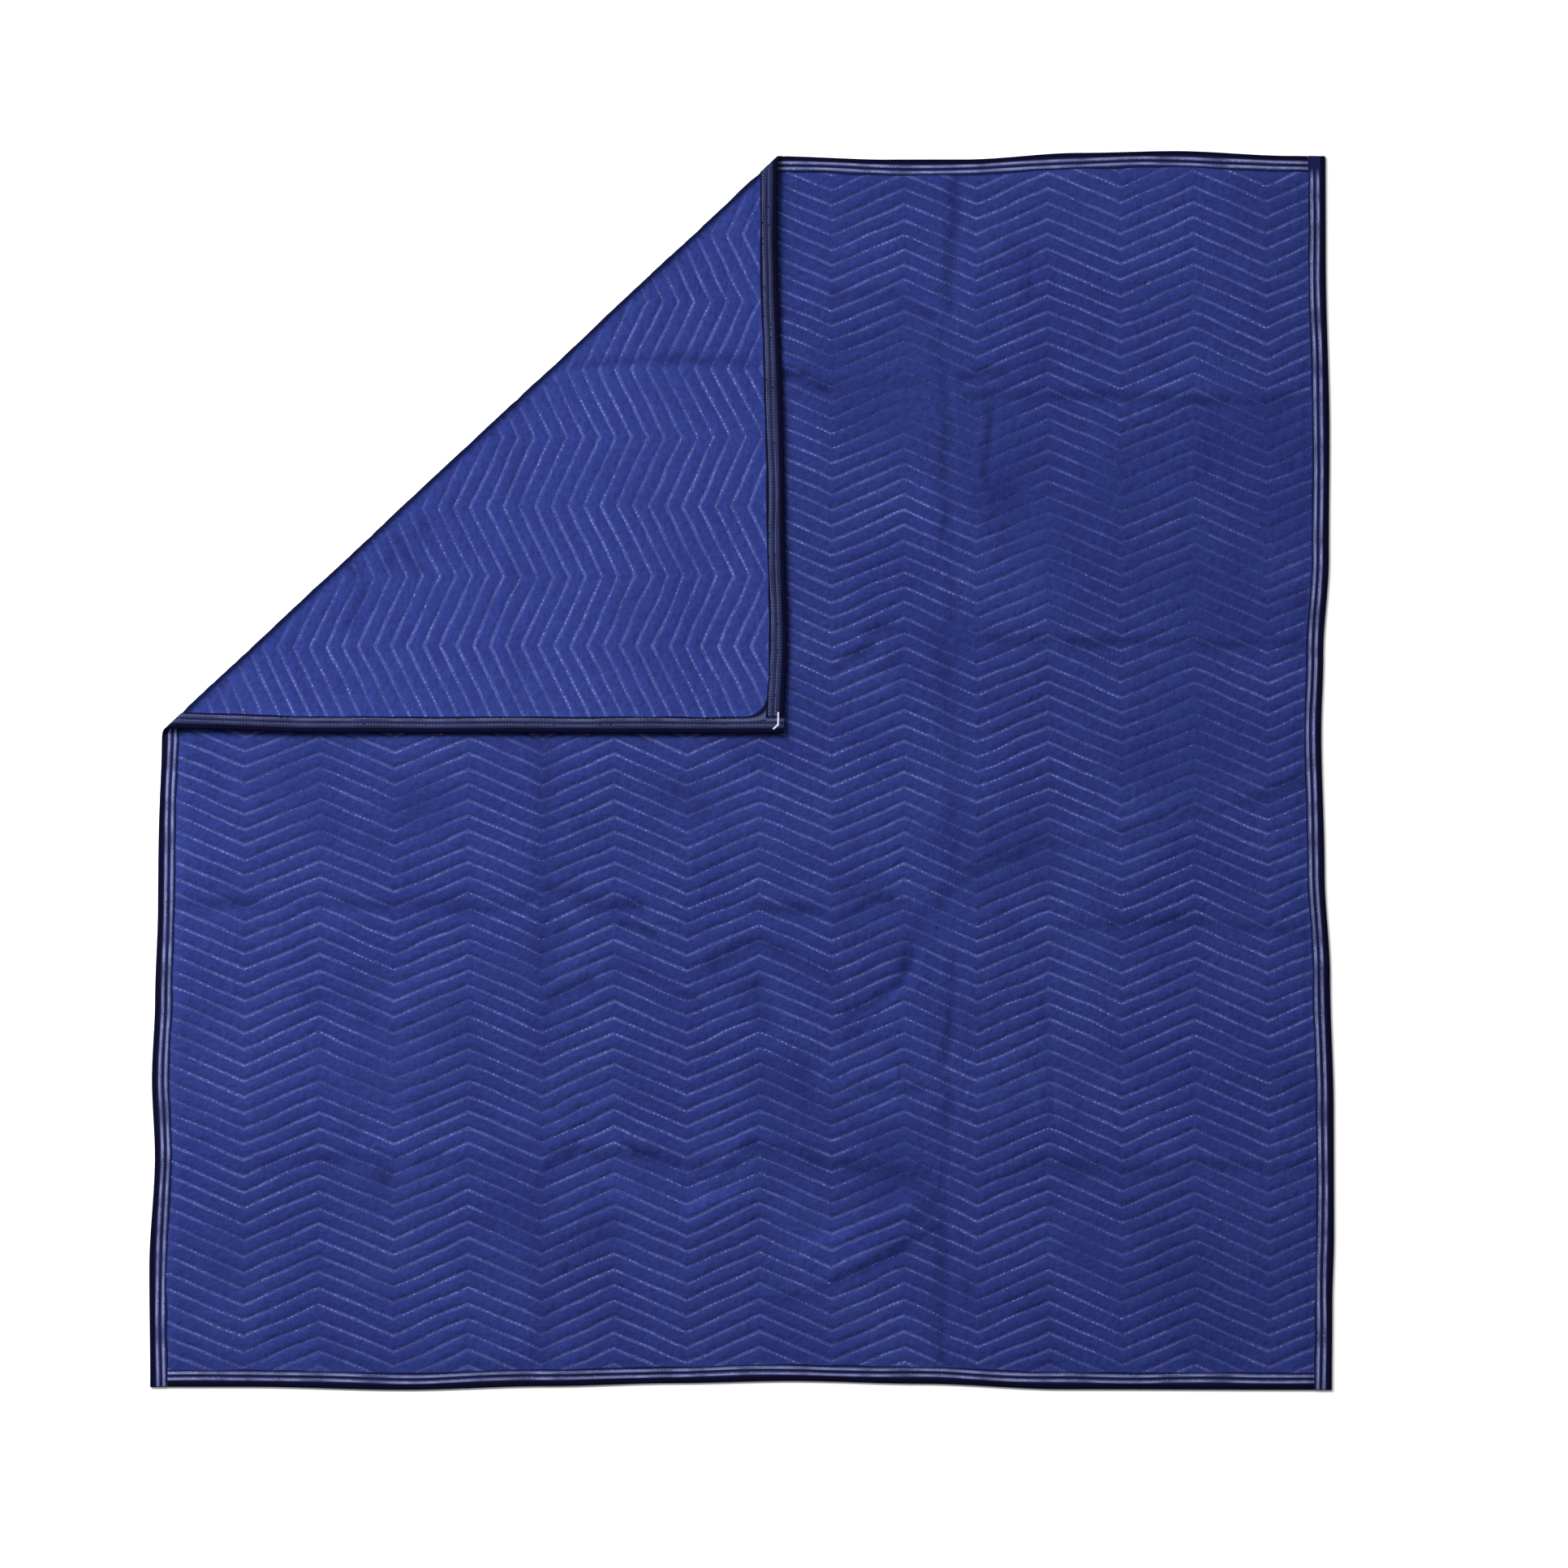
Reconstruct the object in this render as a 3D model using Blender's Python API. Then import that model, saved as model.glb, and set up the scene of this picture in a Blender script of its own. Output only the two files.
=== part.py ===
"""A quilted moving blanket that lies face up, with its top left corner folded over onto its face.

Metres, +Z up. X runs across the blanket and Y along it. The origin is under the middle of the
outline, on the surface that the blanket lies on.

The cloth is first laid out flat: u runs across it, v along it and w up through it. Its outline is
then made uneven, and the corner is turned over on a fold at 45 degrees. The panel is one solid of
face cloth, filling and back cloth. A tape is folded over each of its four edges.
"""

import math
from typing import NamedTuple

import bmesh
import bpy
import numpy as np

MM = 0.001

# The cut blanket
WIDTH = 1.8288
LENGTH = 2.0320

# Quilting: zigzag rows of stitches that run across the width
ROW_PITCH = 0.0254
ZIGZAG_PERIOD = 0.2286
ZIGZAG_RISE = 2 * ROW_PITCH
VALLEY_U = 0.1420
STITCHED_THICKNESS = 0.0040
PUFFED_THICKNESS = 0.0075
BACK_GROOVE = 0.0016

# Tape folded over the edges, with the panel's pressed edge inside it
TAPE_WIDTH = 0.027
TAPE_THICKNESS = 0.0010
TAPE_HEIGHT = 0.0050
TAPE_ROUNDING = 0.0012
POCKET_DEPTH_FROM_EDGE = 0.0012
GAP = 0.0003
STATION_SPACING = 0.070

PANEL_INSET = 0.0030
PRESSED_BAND = 0.0280
PUFFED_FROM = 0.0460
PRESSED_STRIDE = 4
PRESSED_BOTTOM = TAPE_THICKNESS + GAP
PRESSED_TOP = TAPE_HEIGHT - TAPE_THICKNESS - GAP

# The fold, at 45 degrees. FOLD_START is the distance from the middle of the cloth, towards the top
# left corner, at which the cloth leaves the surface.
FOLD_START = 0.6744
FOLD_AXIS_HEIGHT = 0.0080
FOLD_MIDDLE_RADIUS = 0.0060
FOLD_FLATS = 4
FOLD_LENGTH = math.pi * FOLD_MIDDLE_RADIUS

# The edges' unevenness dies away towards the middle of the cloth by this power of the distance
EDGE_FALLOFF = 3


class EdgePoint(NamedTuple):
    """How far an edge stands out of the straight cut, at a place along it."""

    along_mm: float
    outward_mm: float


class Crease(NamedTuple):
    """A straight storage crease or wrinkle in the flat cloth, from one end to the other.

    The mesh is cut along the middle of each crease, and along both feet of a crisp one.
    """

    u0_mm: float
    v0_mm: float
    u1_mm: float
    v1_mm: float
    sink_mm: float
    half_width_mm: float
    crisp: bool


LEFT_EDGE = (
    EdgePoint(-1016, -2.0),
    EdgePoint(-820, 0.0),
    EdgePoint(-640, -8.0),
    EdgePoint(-510, -3.0),
    EdgePoint(-380, -7.5),
    EdgePoint(-228, -11.5),
    EdgePoint(60, -13.0),
    EdgePoint(300, -3.0),
    EdgePoint(1016, -2.0),
)
RIGHT_EDGE = (
    EdgePoint(-1016, 1.0),
    EdgePoint(-880, 2.0),
    EdgePoint(-760, 5.0),
    EdgePoint(-560, 5.0),
    EdgePoint(-340, 0.0),
    EdgePoint(-170, -8.0),
    EdgePoint(60, -12.5),
    EdgePoint(190, -9.0),
    EdgePoint(350, 0.0),
    EdgePoint(560, 1.5),
    EdgePoint(840, -3.5),
    EdgePoint(1016, -3.5),
)
TOP_EDGE = (
    EdgePoint(-914, 19.0),
    EdgePoint(-760, 24.0),
    EdgePoint(-560, 20.0),
    EdgePoint(50, 6.0),
    EdgePoint(230, -3.0),
    EdgePoint(350, -3.0),
    EdgePoint(530, 8.0),
    EdgePoint(680, 11.0),
    EdgePoint(860, 3.0),
    EdgePoint(914, 2.0),
)
BOTTOM_EDGE = (
    EdgePoint(-914, 3.0),
    EdgePoint(-760, 3.0),
    EdgePoint(-520, 8.0),
    EdgePoint(-300, 2.0),
    EdgePoint(-100, -3.0),
    EdgePoint(80, -6.5),
    EdgePoint(280, -2.0),
    EdgePoint(500, 7.0),
    EdgePoint(914, 8.0),
)

CREASES = (
    Crease(325, -1016, 325, 1016, 2.0, 16, True),
    Crease(70, 625, 914, 610, 1.8, 16, False),
    Crease(174, -417, 297, -226, 2.4, 20, False),
    Crease(297, -226, 419, -155, 2.2, 18, False),
    Crease(419, -155, 741, -94, 2.2, 18, False),
    Crease(741, -94, 914, -24, 2.2, 18, False),
    Crease(-280, -640, 29, -634, 2.5, 20, False),
    Crease(29, -634, 310, -668, 2.5, 20, False),
    Crease(-15, -900, 136, -820, 2.4, 20, False),
    Crease(136, -820, 325, -752, 2.4, 20, False),
)


def smooth(share):
    """A share of the way, from 0 to 1, eased at both ends."""
    share = np.clip(share, 0, 1)
    return share * share * (3 - 2 * share)


def outward(edge, along):
    """How far an edge stands out at a place along it, in metres."""
    place = along / MM
    value = np.full(np.shape(place), edge[0].outward_mm, float)
    for near, far in zip(edge, edge[1:]):
        step = smooth((place - near.along_mm) / (far.along_mm - near.along_mm))
        value = value + (far.outward_mm - near.outward_mm) * step
    return value * MM


def lay_unevenly(u, v):
    """Where a point of the straight cut lies, once its edges are as uneven as the real ones."""
    from_left = np.clip(u / WIDTH + 0.5, 0, 1)
    from_bottom = np.clip(v / LENGTH + 0.5, 0, 1)
    x = u + outward(RIGHT_EDGE, v) * from_left**EDGE_FALLOFF
    x = x - outward(LEFT_EDGE, v) * (1 - from_left) ** EDGE_FALLOFF
    y = v + outward(TOP_EDGE, u) * from_bottom**EDGE_FALLOFF
    y = y - outward(BOTTOM_EDGE, u) * (1 - from_bottom) ** EDGE_FALLOFF
    return x, y


def cut_place(x, y):
    """The point of the straight cut that lies at x, y."""
    u, v = x, y
    for _ in range(12):
        laid_x, laid_y = lay_unevenly(u, v)
        u, v = u + x - laid_x, v + y - laid_y
    return u, v


def zigzag(u):
    """How far a quilting row has risen above its valleys at u."""
    share = ((u - VALLEY_U) / ZIGZAG_PERIOD) % 1
    return ZIGZAG_RISE * (1 - np.abs(1 - 2 * share))


def puff(u, v):
    """0 on a stitched row and 1 halfway to the next."""
    phase = (v - zigzag(u)) / ROW_PITCH
    return 1 - 2 * np.abs(phase - np.round(phase))


def freedom(u, v):
    """0 where the tape presses the panel's edge flat and 1 where the panel is fully puffed."""
    to_edge = np.minimum(WIDTH / 2 - np.abs(u), LENGTH / 2 - np.abs(v))
    return np.clip((to_edge - PRESSED_BAND) / (PUFFED_FROM - PRESSED_BAND), 0, 1)


def crease_sink(u, v):
    """How deep the creases press the cloth at a point."""
    deepest = np.zeros(np.shape(u))
    for crease in CREASES:
        start = np.array((crease.u0_mm, crease.v0_mm)) * MM
        span = np.array((crease.u1_mm, crease.v1_mm)) * MM - start
        share = ((u - start[0]) * span[0] + (v - start[1]) * span[1]) / (span @ span)
        share = np.clip(share, 0, 1)
        away = np.hypot(u - start[0] - share * span[0], v - start[1] - share * span[1])
        near = np.clip(1 - away / (crease.half_width_mm * MM), 0, 1)
        deepest = np.maximum(deepest, crease.sink_mm * MM * near)
    return deepest


def across_fold(x, y):
    """The distance from the middle of the cloth towards the top left corner."""
    return (y - x) / math.sqrt(2)


def turned(x, y):
    """0 before the fold and 1 after it."""
    return np.clip((across_fold(x, y) - FOLD_START) / FOLD_LENGTH, 0, 1)


def fold_over(x, y, w):
    """Points of the laid cloth, at height w in it, with the corner turned over its face."""
    across = across_fold(x, y)
    along = (x + y) / math.sqrt(2)
    radius = FOLD_AXIS_HEIGHT - w
    flat = turned(x, y) * FOLD_FLATS
    whole = np.minimum(np.floor(flat), FOLD_FLATS - 1)
    step = math.pi / FOLD_FLATS
    sine = np.sin(whole * step) * (whole + 1 - flat) + np.sin((whole + 1) * step) * (flat - whole)
    cosine = np.cos(whole * step) * (whole + 1 - flat) + np.cos((whole + 1) * step) * (flat - whole)
    before = np.minimum(across, FOLD_START)
    beyond = np.maximum(across - FOLD_START - FOLD_LENGTH, 0)
    folded_across = before + radius * sine - beyond
    z = FOLD_AXIS_HEIGHT - radius * cosine
    folded_x = (along - folded_across) / math.sqrt(2)
    folded_y = (along + folded_across) / math.sqrt(2)
    return np.stack((folded_x, folded_y, z), axis=-1)


def cut_along(mesh, point, normal, faces, trim=False):
    """Splits faces along a vertical plane, and with trim removes what lies on the normal's side."""
    edges = {edge for face in faces for edge in face.edges}
    corners = {corner for face in faces for corner in face.verts}
    bmesh.ops.bisect_plane(
        mesh,
        geom=[*faces, *edges, *corners],
        plane_co=(*point, 0),
        plane_no=(*normal, 0),
        dist=1e-6,
        clear_outer=trim,
    )


def cut_at_fold(mesh):
    """Splits a mesh of the laid cloth where the flats of the fold meet."""
    for flat in range(FOLD_FLATS + 1):
        across = FOLD_START + FOLD_LENGTH * flat / FOLD_FLATS
        point = (-across / math.sqrt(2), across / math.sqrt(2))
        cut_along(mesh, point, (-1, 1), mesh.faces[:])


def cut_at_crease(mesh, crease):
    """Splits the flat cloth along a crease."""
    start = np.array((crease.u0_mm, crease.v0_mm)) * MM
    span = np.array((crease.u1_mm, crease.v1_mm)) * MM - start
    length = np.hypot(*span)
    ahead = span / length
    sideways = np.array((-ahead[1], ahead[0]))
    foot = crease.half_width_mm * MM
    for offset in (-foot, 0, foot) if crease.crisp else (0,):
        point = start + sideways * offset
        near = []
        for face in mesh.faces:
            reaches = [np.dot(np.array(corner.co[:2]) - point, ahead) for corner in face.verts]
            if max(reaches) > 0 and min(reaches) < length:
                near.append(face)
        cut_along(mesh, point, sideways, near)


def puffed_columns():
    """The places across the puffed part of the panel where its mesh has an edge."""
    half_period = ZIGZAG_PERIOD / 2
    puffed_half = WIDTH / 2 - PUFFED_FROM
    first = math.ceil((-puffed_half - VALLEY_U) / half_period)
    last = math.floor((puffed_half - VALLEY_U) / half_period)
    turns = [VALLEY_U + half_period * turn for turn in range(first, last + 1)]
    return [-puffed_half, *turns, puffed_half]


def add_pressed_side(mesh, side, column):
    """Adds the strips between the puffed part's outer column and the panel's left or right rim."""
    pressed_u = side * (WIDTH / 2 - PRESSED_BAND)
    rim_u = side * (WIDTH / 2 - PANEL_INSET)
    marks = column[::PRESSED_STRIDE]
    pressed = [mesh.verts.new((pressed_u, mark.co.y, 0)) for mark in marks]
    rim = [mesh.verts.new((rim_u, mark.co.y, 0)) for mark in marks]
    for i in range(len(marks) - 1):
        puffed = column[i * PRESSED_STRIDE : (i + 1) * PRESSED_STRIDE + 1]
        inner = [*puffed, pressed[i + 1], pressed[i]]
        outer = [pressed[i], pressed[i + 1], rim[i + 1], rim[i]]
        for strip in (inner, outer):
            mesh.faces.new(strip if side < 0 else strip[::-1])


def flat_panel():
    """The panel's cut as a flat mesh, its edges along the stitched rows and the crests between."""
    mesh = bmesh.new()
    half_pitch = ROW_PITCH / 2
    last_row = PRESSED_STRIDE * math.ceil((LENGTH / 2 + ZIGZAG_RISE) / half_pitch / PRESSED_STRIDE)
    rows = [
        [mesh.verts.new((u, row * half_pitch + zigzag(u), 0)) for u in puffed_columns()]
        for row in range(-last_row, last_row + 1)
    ]
    for below, above in zip(rows, rows[1:]):
        for a, b, c, d in zip(below, below[1:], above[1:], above):
            mesh.faces.new((a, b, c, d))
    add_pressed_side(mesh, -1, [row[0] for row in rows])
    add_pressed_side(mesh, 1, [row[-1] for row in rows])
    for side in (-1, 1):
        cut_along(mesh, (0, side * (LENGTH / 2 - PANEL_INSET)), (0, side), mesh.faces[:], trim=True)
        for inset in (PRESSED_BAND, PUFFED_FROM):
            cut_along(mesh, (0, side * (LENGTH / 2 - inset)), (0, side), mesh.faces[:])
    for crease in CREASES:
        cut_at_crease(mesh, crease)
    return mesh


def panel_solid():
    """The quilted panel as a closed mesh: its face, its back and the rim between them."""
    flat = flat_panel()
    for corner in flat.verts:
        x, y = lay_unevenly(corner.co.x, corner.co.y)
        corner.co = (x, y, 0)
    cut_at_fold(flat)
    bmesh.ops.triangulate(flat, faces=flat.faces[:])
    flat.verts.index_update()

    laid = np.array([corner.co[:] for corner in flat.verts], float)
    x, y = laid[:, 0], laid[:, 1]
    u, v = cut_place(x, y)
    free = freedom(u, v)
    over = turned(x, y)
    sink = crease_sink(u, v)
    puffed = STITCHED_THICKNESS + (PUFFED_THICKNESS - STITCHED_THICKNESS) * puff(u, v)
    face_height = PRESSED_TOP + (puffed - sink * (1 - over) - PRESSED_TOP) * free
    grooved = (BACK_GROOVE * (1 - puff(u, v)) + sink) * over
    back_height = PRESSED_BOTTOM * (1 - free) + grooved * free

    solid = bmesh.new()
    face_side = [solid.verts.new(point) for point in fold_over(x, y, face_height)]
    back_side = [solid.verts.new(point) for point in fold_over(x, y, back_height)]
    for triangle in flat.faces:
        a, b, c = (corner.index for corner in triangle.verts)
        solid.faces.new((face_side[a], face_side[b], face_side[c]))
        solid.faces.new((back_side[c], back_side[b], back_side[a]))
    for edge in flat.edges:
        if edge.is_boundary:
            loop = edge.link_loops[0]
            a, b = loop.vert.index, loop.link_loop_next.vert.index
            solid.faces.new((back_side[a], back_side[b], face_side[b], face_side[a]))
    flat.free()
    return solid


def tape_section():
    """The tape's cross section, as outer and pocket points of distance from the edge and height."""
    outer = [
        (TAPE_WIDTH, 0),
        (TAPE_ROUNDING, 0),
        (0, TAPE_ROUNDING),
        (0, TAPE_HEIGHT - TAPE_ROUNDING),
        (TAPE_ROUNDING, TAPE_HEIGHT),
        (TAPE_WIDTH, TAPE_HEIGHT),
    ]
    pocket = [
        (TAPE_WIDTH, TAPE_HEIGHT - TAPE_THICKNESS),
        (POCKET_DEPTH_FROM_EDGE, TAPE_HEIGHT - TAPE_THICKNESS),
        (POCKET_DEPTH_FROM_EDGE, TAPE_THICKNESS),
        (TAPE_WIDTH, TAPE_THICKNESS),
    ]
    return outer, pocket


def stations(edge, half_length):
    """The places along an edge where its tape has a section, each table row's own among them."""
    places = {-half_length, half_length}
    places |= {row.along_mm * MM for row in edge if abs(row.along_mm) * MM < half_length}
    marks = sorted(places)
    for near, far in zip(marks, marks[1:]):
        parts = math.ceil((far - near) / STATION_SPACING)
        places |= {near + (far - near) * part / parts for part in range(1, parts)}
    return sorted(places)


def tape_solid(edge, half_length, to_cut, closed_ends):
    """A tape along one edge, as a channel round the panel's edge.

    to_cut turns a place along the edge and a distance in from it into u and v. A closed end has
    the tape tucked in over the panel's corner.
    """
    outer, pocket = tape_section()
    mesh = bmesh.new()

    def ring(along, points):
        u, v = to_cut(along, np.array([inward for inward, _ in points]))
        return [mesh.verts.new((x, y, w)) for x, y, (_, w) in zip(*lay_unevenly(u, v), points)]

    places = stations(edge, half_length)
    if closed_ends:
        places = [places[0] + TAPE_THICKNESS, *places[1:-1], places[-1] - TAPE_THICKNESS]
    outers = [ring(along, outer) for along in places]
    pockets = [ring(along, pocket) for along in places]
    whole = [a + b for a, b in zip(outers, pockets)]
    for near, far in zip(whole, whole[1:]):
        for i, corner in enumerate(near):
            j = (i + 1) % len(near)
            mesh.faces.new((corner, near[j], far[j], far[i]))
    for end, wall_end in ((0, -half_length), (-1, half_length)):
        if not closed_ends:
            mesh.faces.new(whole[end])
            continue
        wall = ring(wall_end, outer)
        for i in range(len(outer) - 1):
            mesh.faces.new((wall[i], wall[i + 1], outers[end][i + 1], outers[end][i]))
        lower_lip, upper_lip = outers[end][0], outers[end][-1]
        mesh.faces.new((wall[-1], wall[0], lower_lip, pockets[end][-1], pockets[end][0], upper_lip))
        mesh.faces.new(wall)
        mesh.faces.new(pockets[end])
    bmesh.ops.recalc_face_normals(mesh, faces=mesh.faces[:])
    bmesh.ops.triangulate(mesh, faces=mesh.faces[:])
    cut_at_fold(mesh)
    bmesh.ops.triangulate(mesh, faces=mesh.faces[:])
    for corner in mesh.verts:
        corner.co = fold_over(*corner.co)
    return mesh


def cloth_material(name, colour, roughness):
    """A woven finish of one colour."""
    material = bpy.data.materials.new(name)
    material.use_nodes = True
    shader = material.node_tree.nodes["Principled BSDF"]
    shader.inputs["Base Color"].default_value = (*colour, 1)
    shader.inputs["Roughness"].default_value = roughness
    shader.inputs["Metallic"].default_value = 0
    return material


def clear_scene():
    """Removes every object that is in the scene."""
    for leftover in list(bpy.data.objects):
        bpy.data.objects.remove(leftover, do_unlink=True)


def add_piece(name, solid, material):
    """Adds a mesh to the scene as a named object."""
    mesh = bpy.data.meshes.new(name)
    solid.to_mesh(mesh)
    solid.free()
    mesh.shade_smooth()
    mesh.set_sharp_from_angle(angle=math.radians(50))
    mesh.materials.append(material)
    piece = bpy.data.objects.new(name, mesh)
    bpy.context.scene.collection.objects.link(piece)
    return piece


def centre(pieces):
    """Moves the pieces so that the origin is under the middle of their outline."""
    corners = np.array([corner.co[:] for piece in pieces for corner in piece.data.vertices])
    middle = (corners.min(axis=0) + corners.max(axis=0)) / 2
    for piece in pieces:
        for corner in piece.data.vertices:
            corner.co.x -= middle[0]
            corner.co.y -= middle[1]


def build():
    """Makes the panel and its four tapes."""
    clear_scene()
    quilt = cloth_material("quilted_cloth", (0.032, 0.046, 0.205), 0.92)
    tape = cloth_material("edge_tape", (0.010, 0.013, 0.062), 0.85)
    side_u, end_v = WIDTH / 2, LENGTH / 2
    end_half = side_u - TAPE_WIDTH - GAP
    runs = {
        "binding_left": (LEFT_EDGE, end_v, lambda along, inward: (inward - side_u, along), True),
        "binding_right": (RIGHT_EDGE, end_v, lambda along, inward: (side_u - inward, along), True),
        "binding_top": (TOP_EDGE, end_half, lambda along, inward: (along, end_v - inward), False),
        "binding_bottom": (BOTTOM_EDGE, end_half, lambda along, inward: (along, inward - end_v), False),
    }
    pieces = [add_piece("quilted_panel", panel_solid(), quilt)]
    pieces += [add_piece(name, tape_solid(*run), tape) for name, run in runs.items()]
    centre(pieces)


build()
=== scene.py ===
"""A quilted moving blanket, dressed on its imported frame.

The blanket lies face up on a pale floor, its top left corner turned over onto its face. All places
are in metres and +Z is up. The cloth is first thought of flat: u runs across the cut, v along it
and w up through it. Laid out, its edges are uneven, and a point of the cut has its place x, y.
Then the corner is turned over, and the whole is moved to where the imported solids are.
"""

import logging
import math
from dataclasses import asdict, dataclass, field
from enum import Enum
from typing import NamedTuple

import bmesh
import bpy
import numpy as np
from bpy.types import ID, Material, Mesh, Node, NodeSocket, NodeTree, Object
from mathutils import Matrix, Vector


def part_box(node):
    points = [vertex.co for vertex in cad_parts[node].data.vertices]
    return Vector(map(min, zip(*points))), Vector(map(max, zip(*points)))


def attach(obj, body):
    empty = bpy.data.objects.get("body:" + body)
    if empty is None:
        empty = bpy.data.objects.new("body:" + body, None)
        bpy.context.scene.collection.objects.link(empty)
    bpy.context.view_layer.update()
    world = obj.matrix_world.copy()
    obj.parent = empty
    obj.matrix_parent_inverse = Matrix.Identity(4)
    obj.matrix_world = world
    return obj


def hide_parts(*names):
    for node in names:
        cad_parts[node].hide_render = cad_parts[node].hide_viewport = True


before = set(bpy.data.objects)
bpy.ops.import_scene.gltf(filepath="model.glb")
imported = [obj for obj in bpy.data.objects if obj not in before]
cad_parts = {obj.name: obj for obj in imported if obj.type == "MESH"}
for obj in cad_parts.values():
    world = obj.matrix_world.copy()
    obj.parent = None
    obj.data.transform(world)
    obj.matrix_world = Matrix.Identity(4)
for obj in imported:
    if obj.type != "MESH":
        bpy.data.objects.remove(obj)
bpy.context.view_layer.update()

MM = 0.001
log = logging.getLogger("moving_blanket")

Array = np.ndarray
Pair = tuple[float, float]
Triple = tuple[float, float, float]


class Side(Enum):
    """The two cloths of the blanket."""

    FACE = 1
    BACK = -1


class Edge(Enum):
    """The four edges, named as the blanket lies."""

    LEFT = "binding_left"
    RIGHT = "binding_right"
    TOP = "binding_top"
    BOTTOM = "binding_bottom"


class Drift(NamedTuple):
    """How far something lies off its even place, at a place along it."""

    at_mm: float
    by_mm: float


class Crease(NamedTuple):
    """A soft trough in the laid cloth, along stops of x, y and depth in mm, a ridge where negative.

    A lower ridge runs beside it, on the left of its run, or on the right if its share is negative.
    """

    half_width_mm: float
    ridge_share: float
    stops: tuple[Triple, ...]


class Patch(NamedTuple):
    """A round patch of the laid cloth, and how strong it is there."""

    x_mm: float
    y_mm: float
    radius_mm: float
    strength: float

    def away(self, x: Array, y: Array) -> Array:
        """How far places are from its middle, in radii."""
        return np.hypot(x - self.x_mm * MM, y - self.y_mm * MM) / (self.radius_mm * MM)


class RowDrift(NamedTuple):
    """How far the quilting rows lie above their even places, at three places across."""

    y_mm: float
    left_mm: float
    middle_mm: float
    right_mm: float


def table(kind: type, *rows: tuple[float, ...]) -> tuple:
    """Makes each row of numbers a named tuple of the kind."""
    return tuple(kind(*row) for row in rows)


# How far each edge stands out of the straight cut
EDGES = {
    Edge.LEFT: table(
        Drift, (-1016, -2.0), (-820, 0.0), (-640, -8.0), (-510, -3.0), (-380, -7.5), (-228, -11.5),
        (60, -13.0), (300, -3.0), (1016, -2.0),
    ),
    Edge.RIGHT: table(
        Drift, (-1016, 1.0), (-880, 2.0), (-760, 5.0), (-560, 5.0), (-340, 0.0), (-170, -8.0),
        (60, -12.5), (190, -9.0), (350, 0.0), (560, 1.5), (840, -3.5), (1016, -3.5),
    ),
    Edge.TOP: table(
        Drift, (-914, 19.0), (-760, 24.0), (-560, 20.0), (50, 6.0), (230, -3.0), (350, -3.0),
        (530, 8.0), (680, 11.0), (860, 3.0), (914, 2.0),
    ),
    Edge.BOTTOM: table(
        Drift, (-914, 3.0), (-760, 3.0), (-520, 8.0), (-300, 2.0), (-100, -3.0), (80, -6.5),
        (280, -2.0), (500, 7.0), (914, 8.0),
    ),
}

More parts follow.
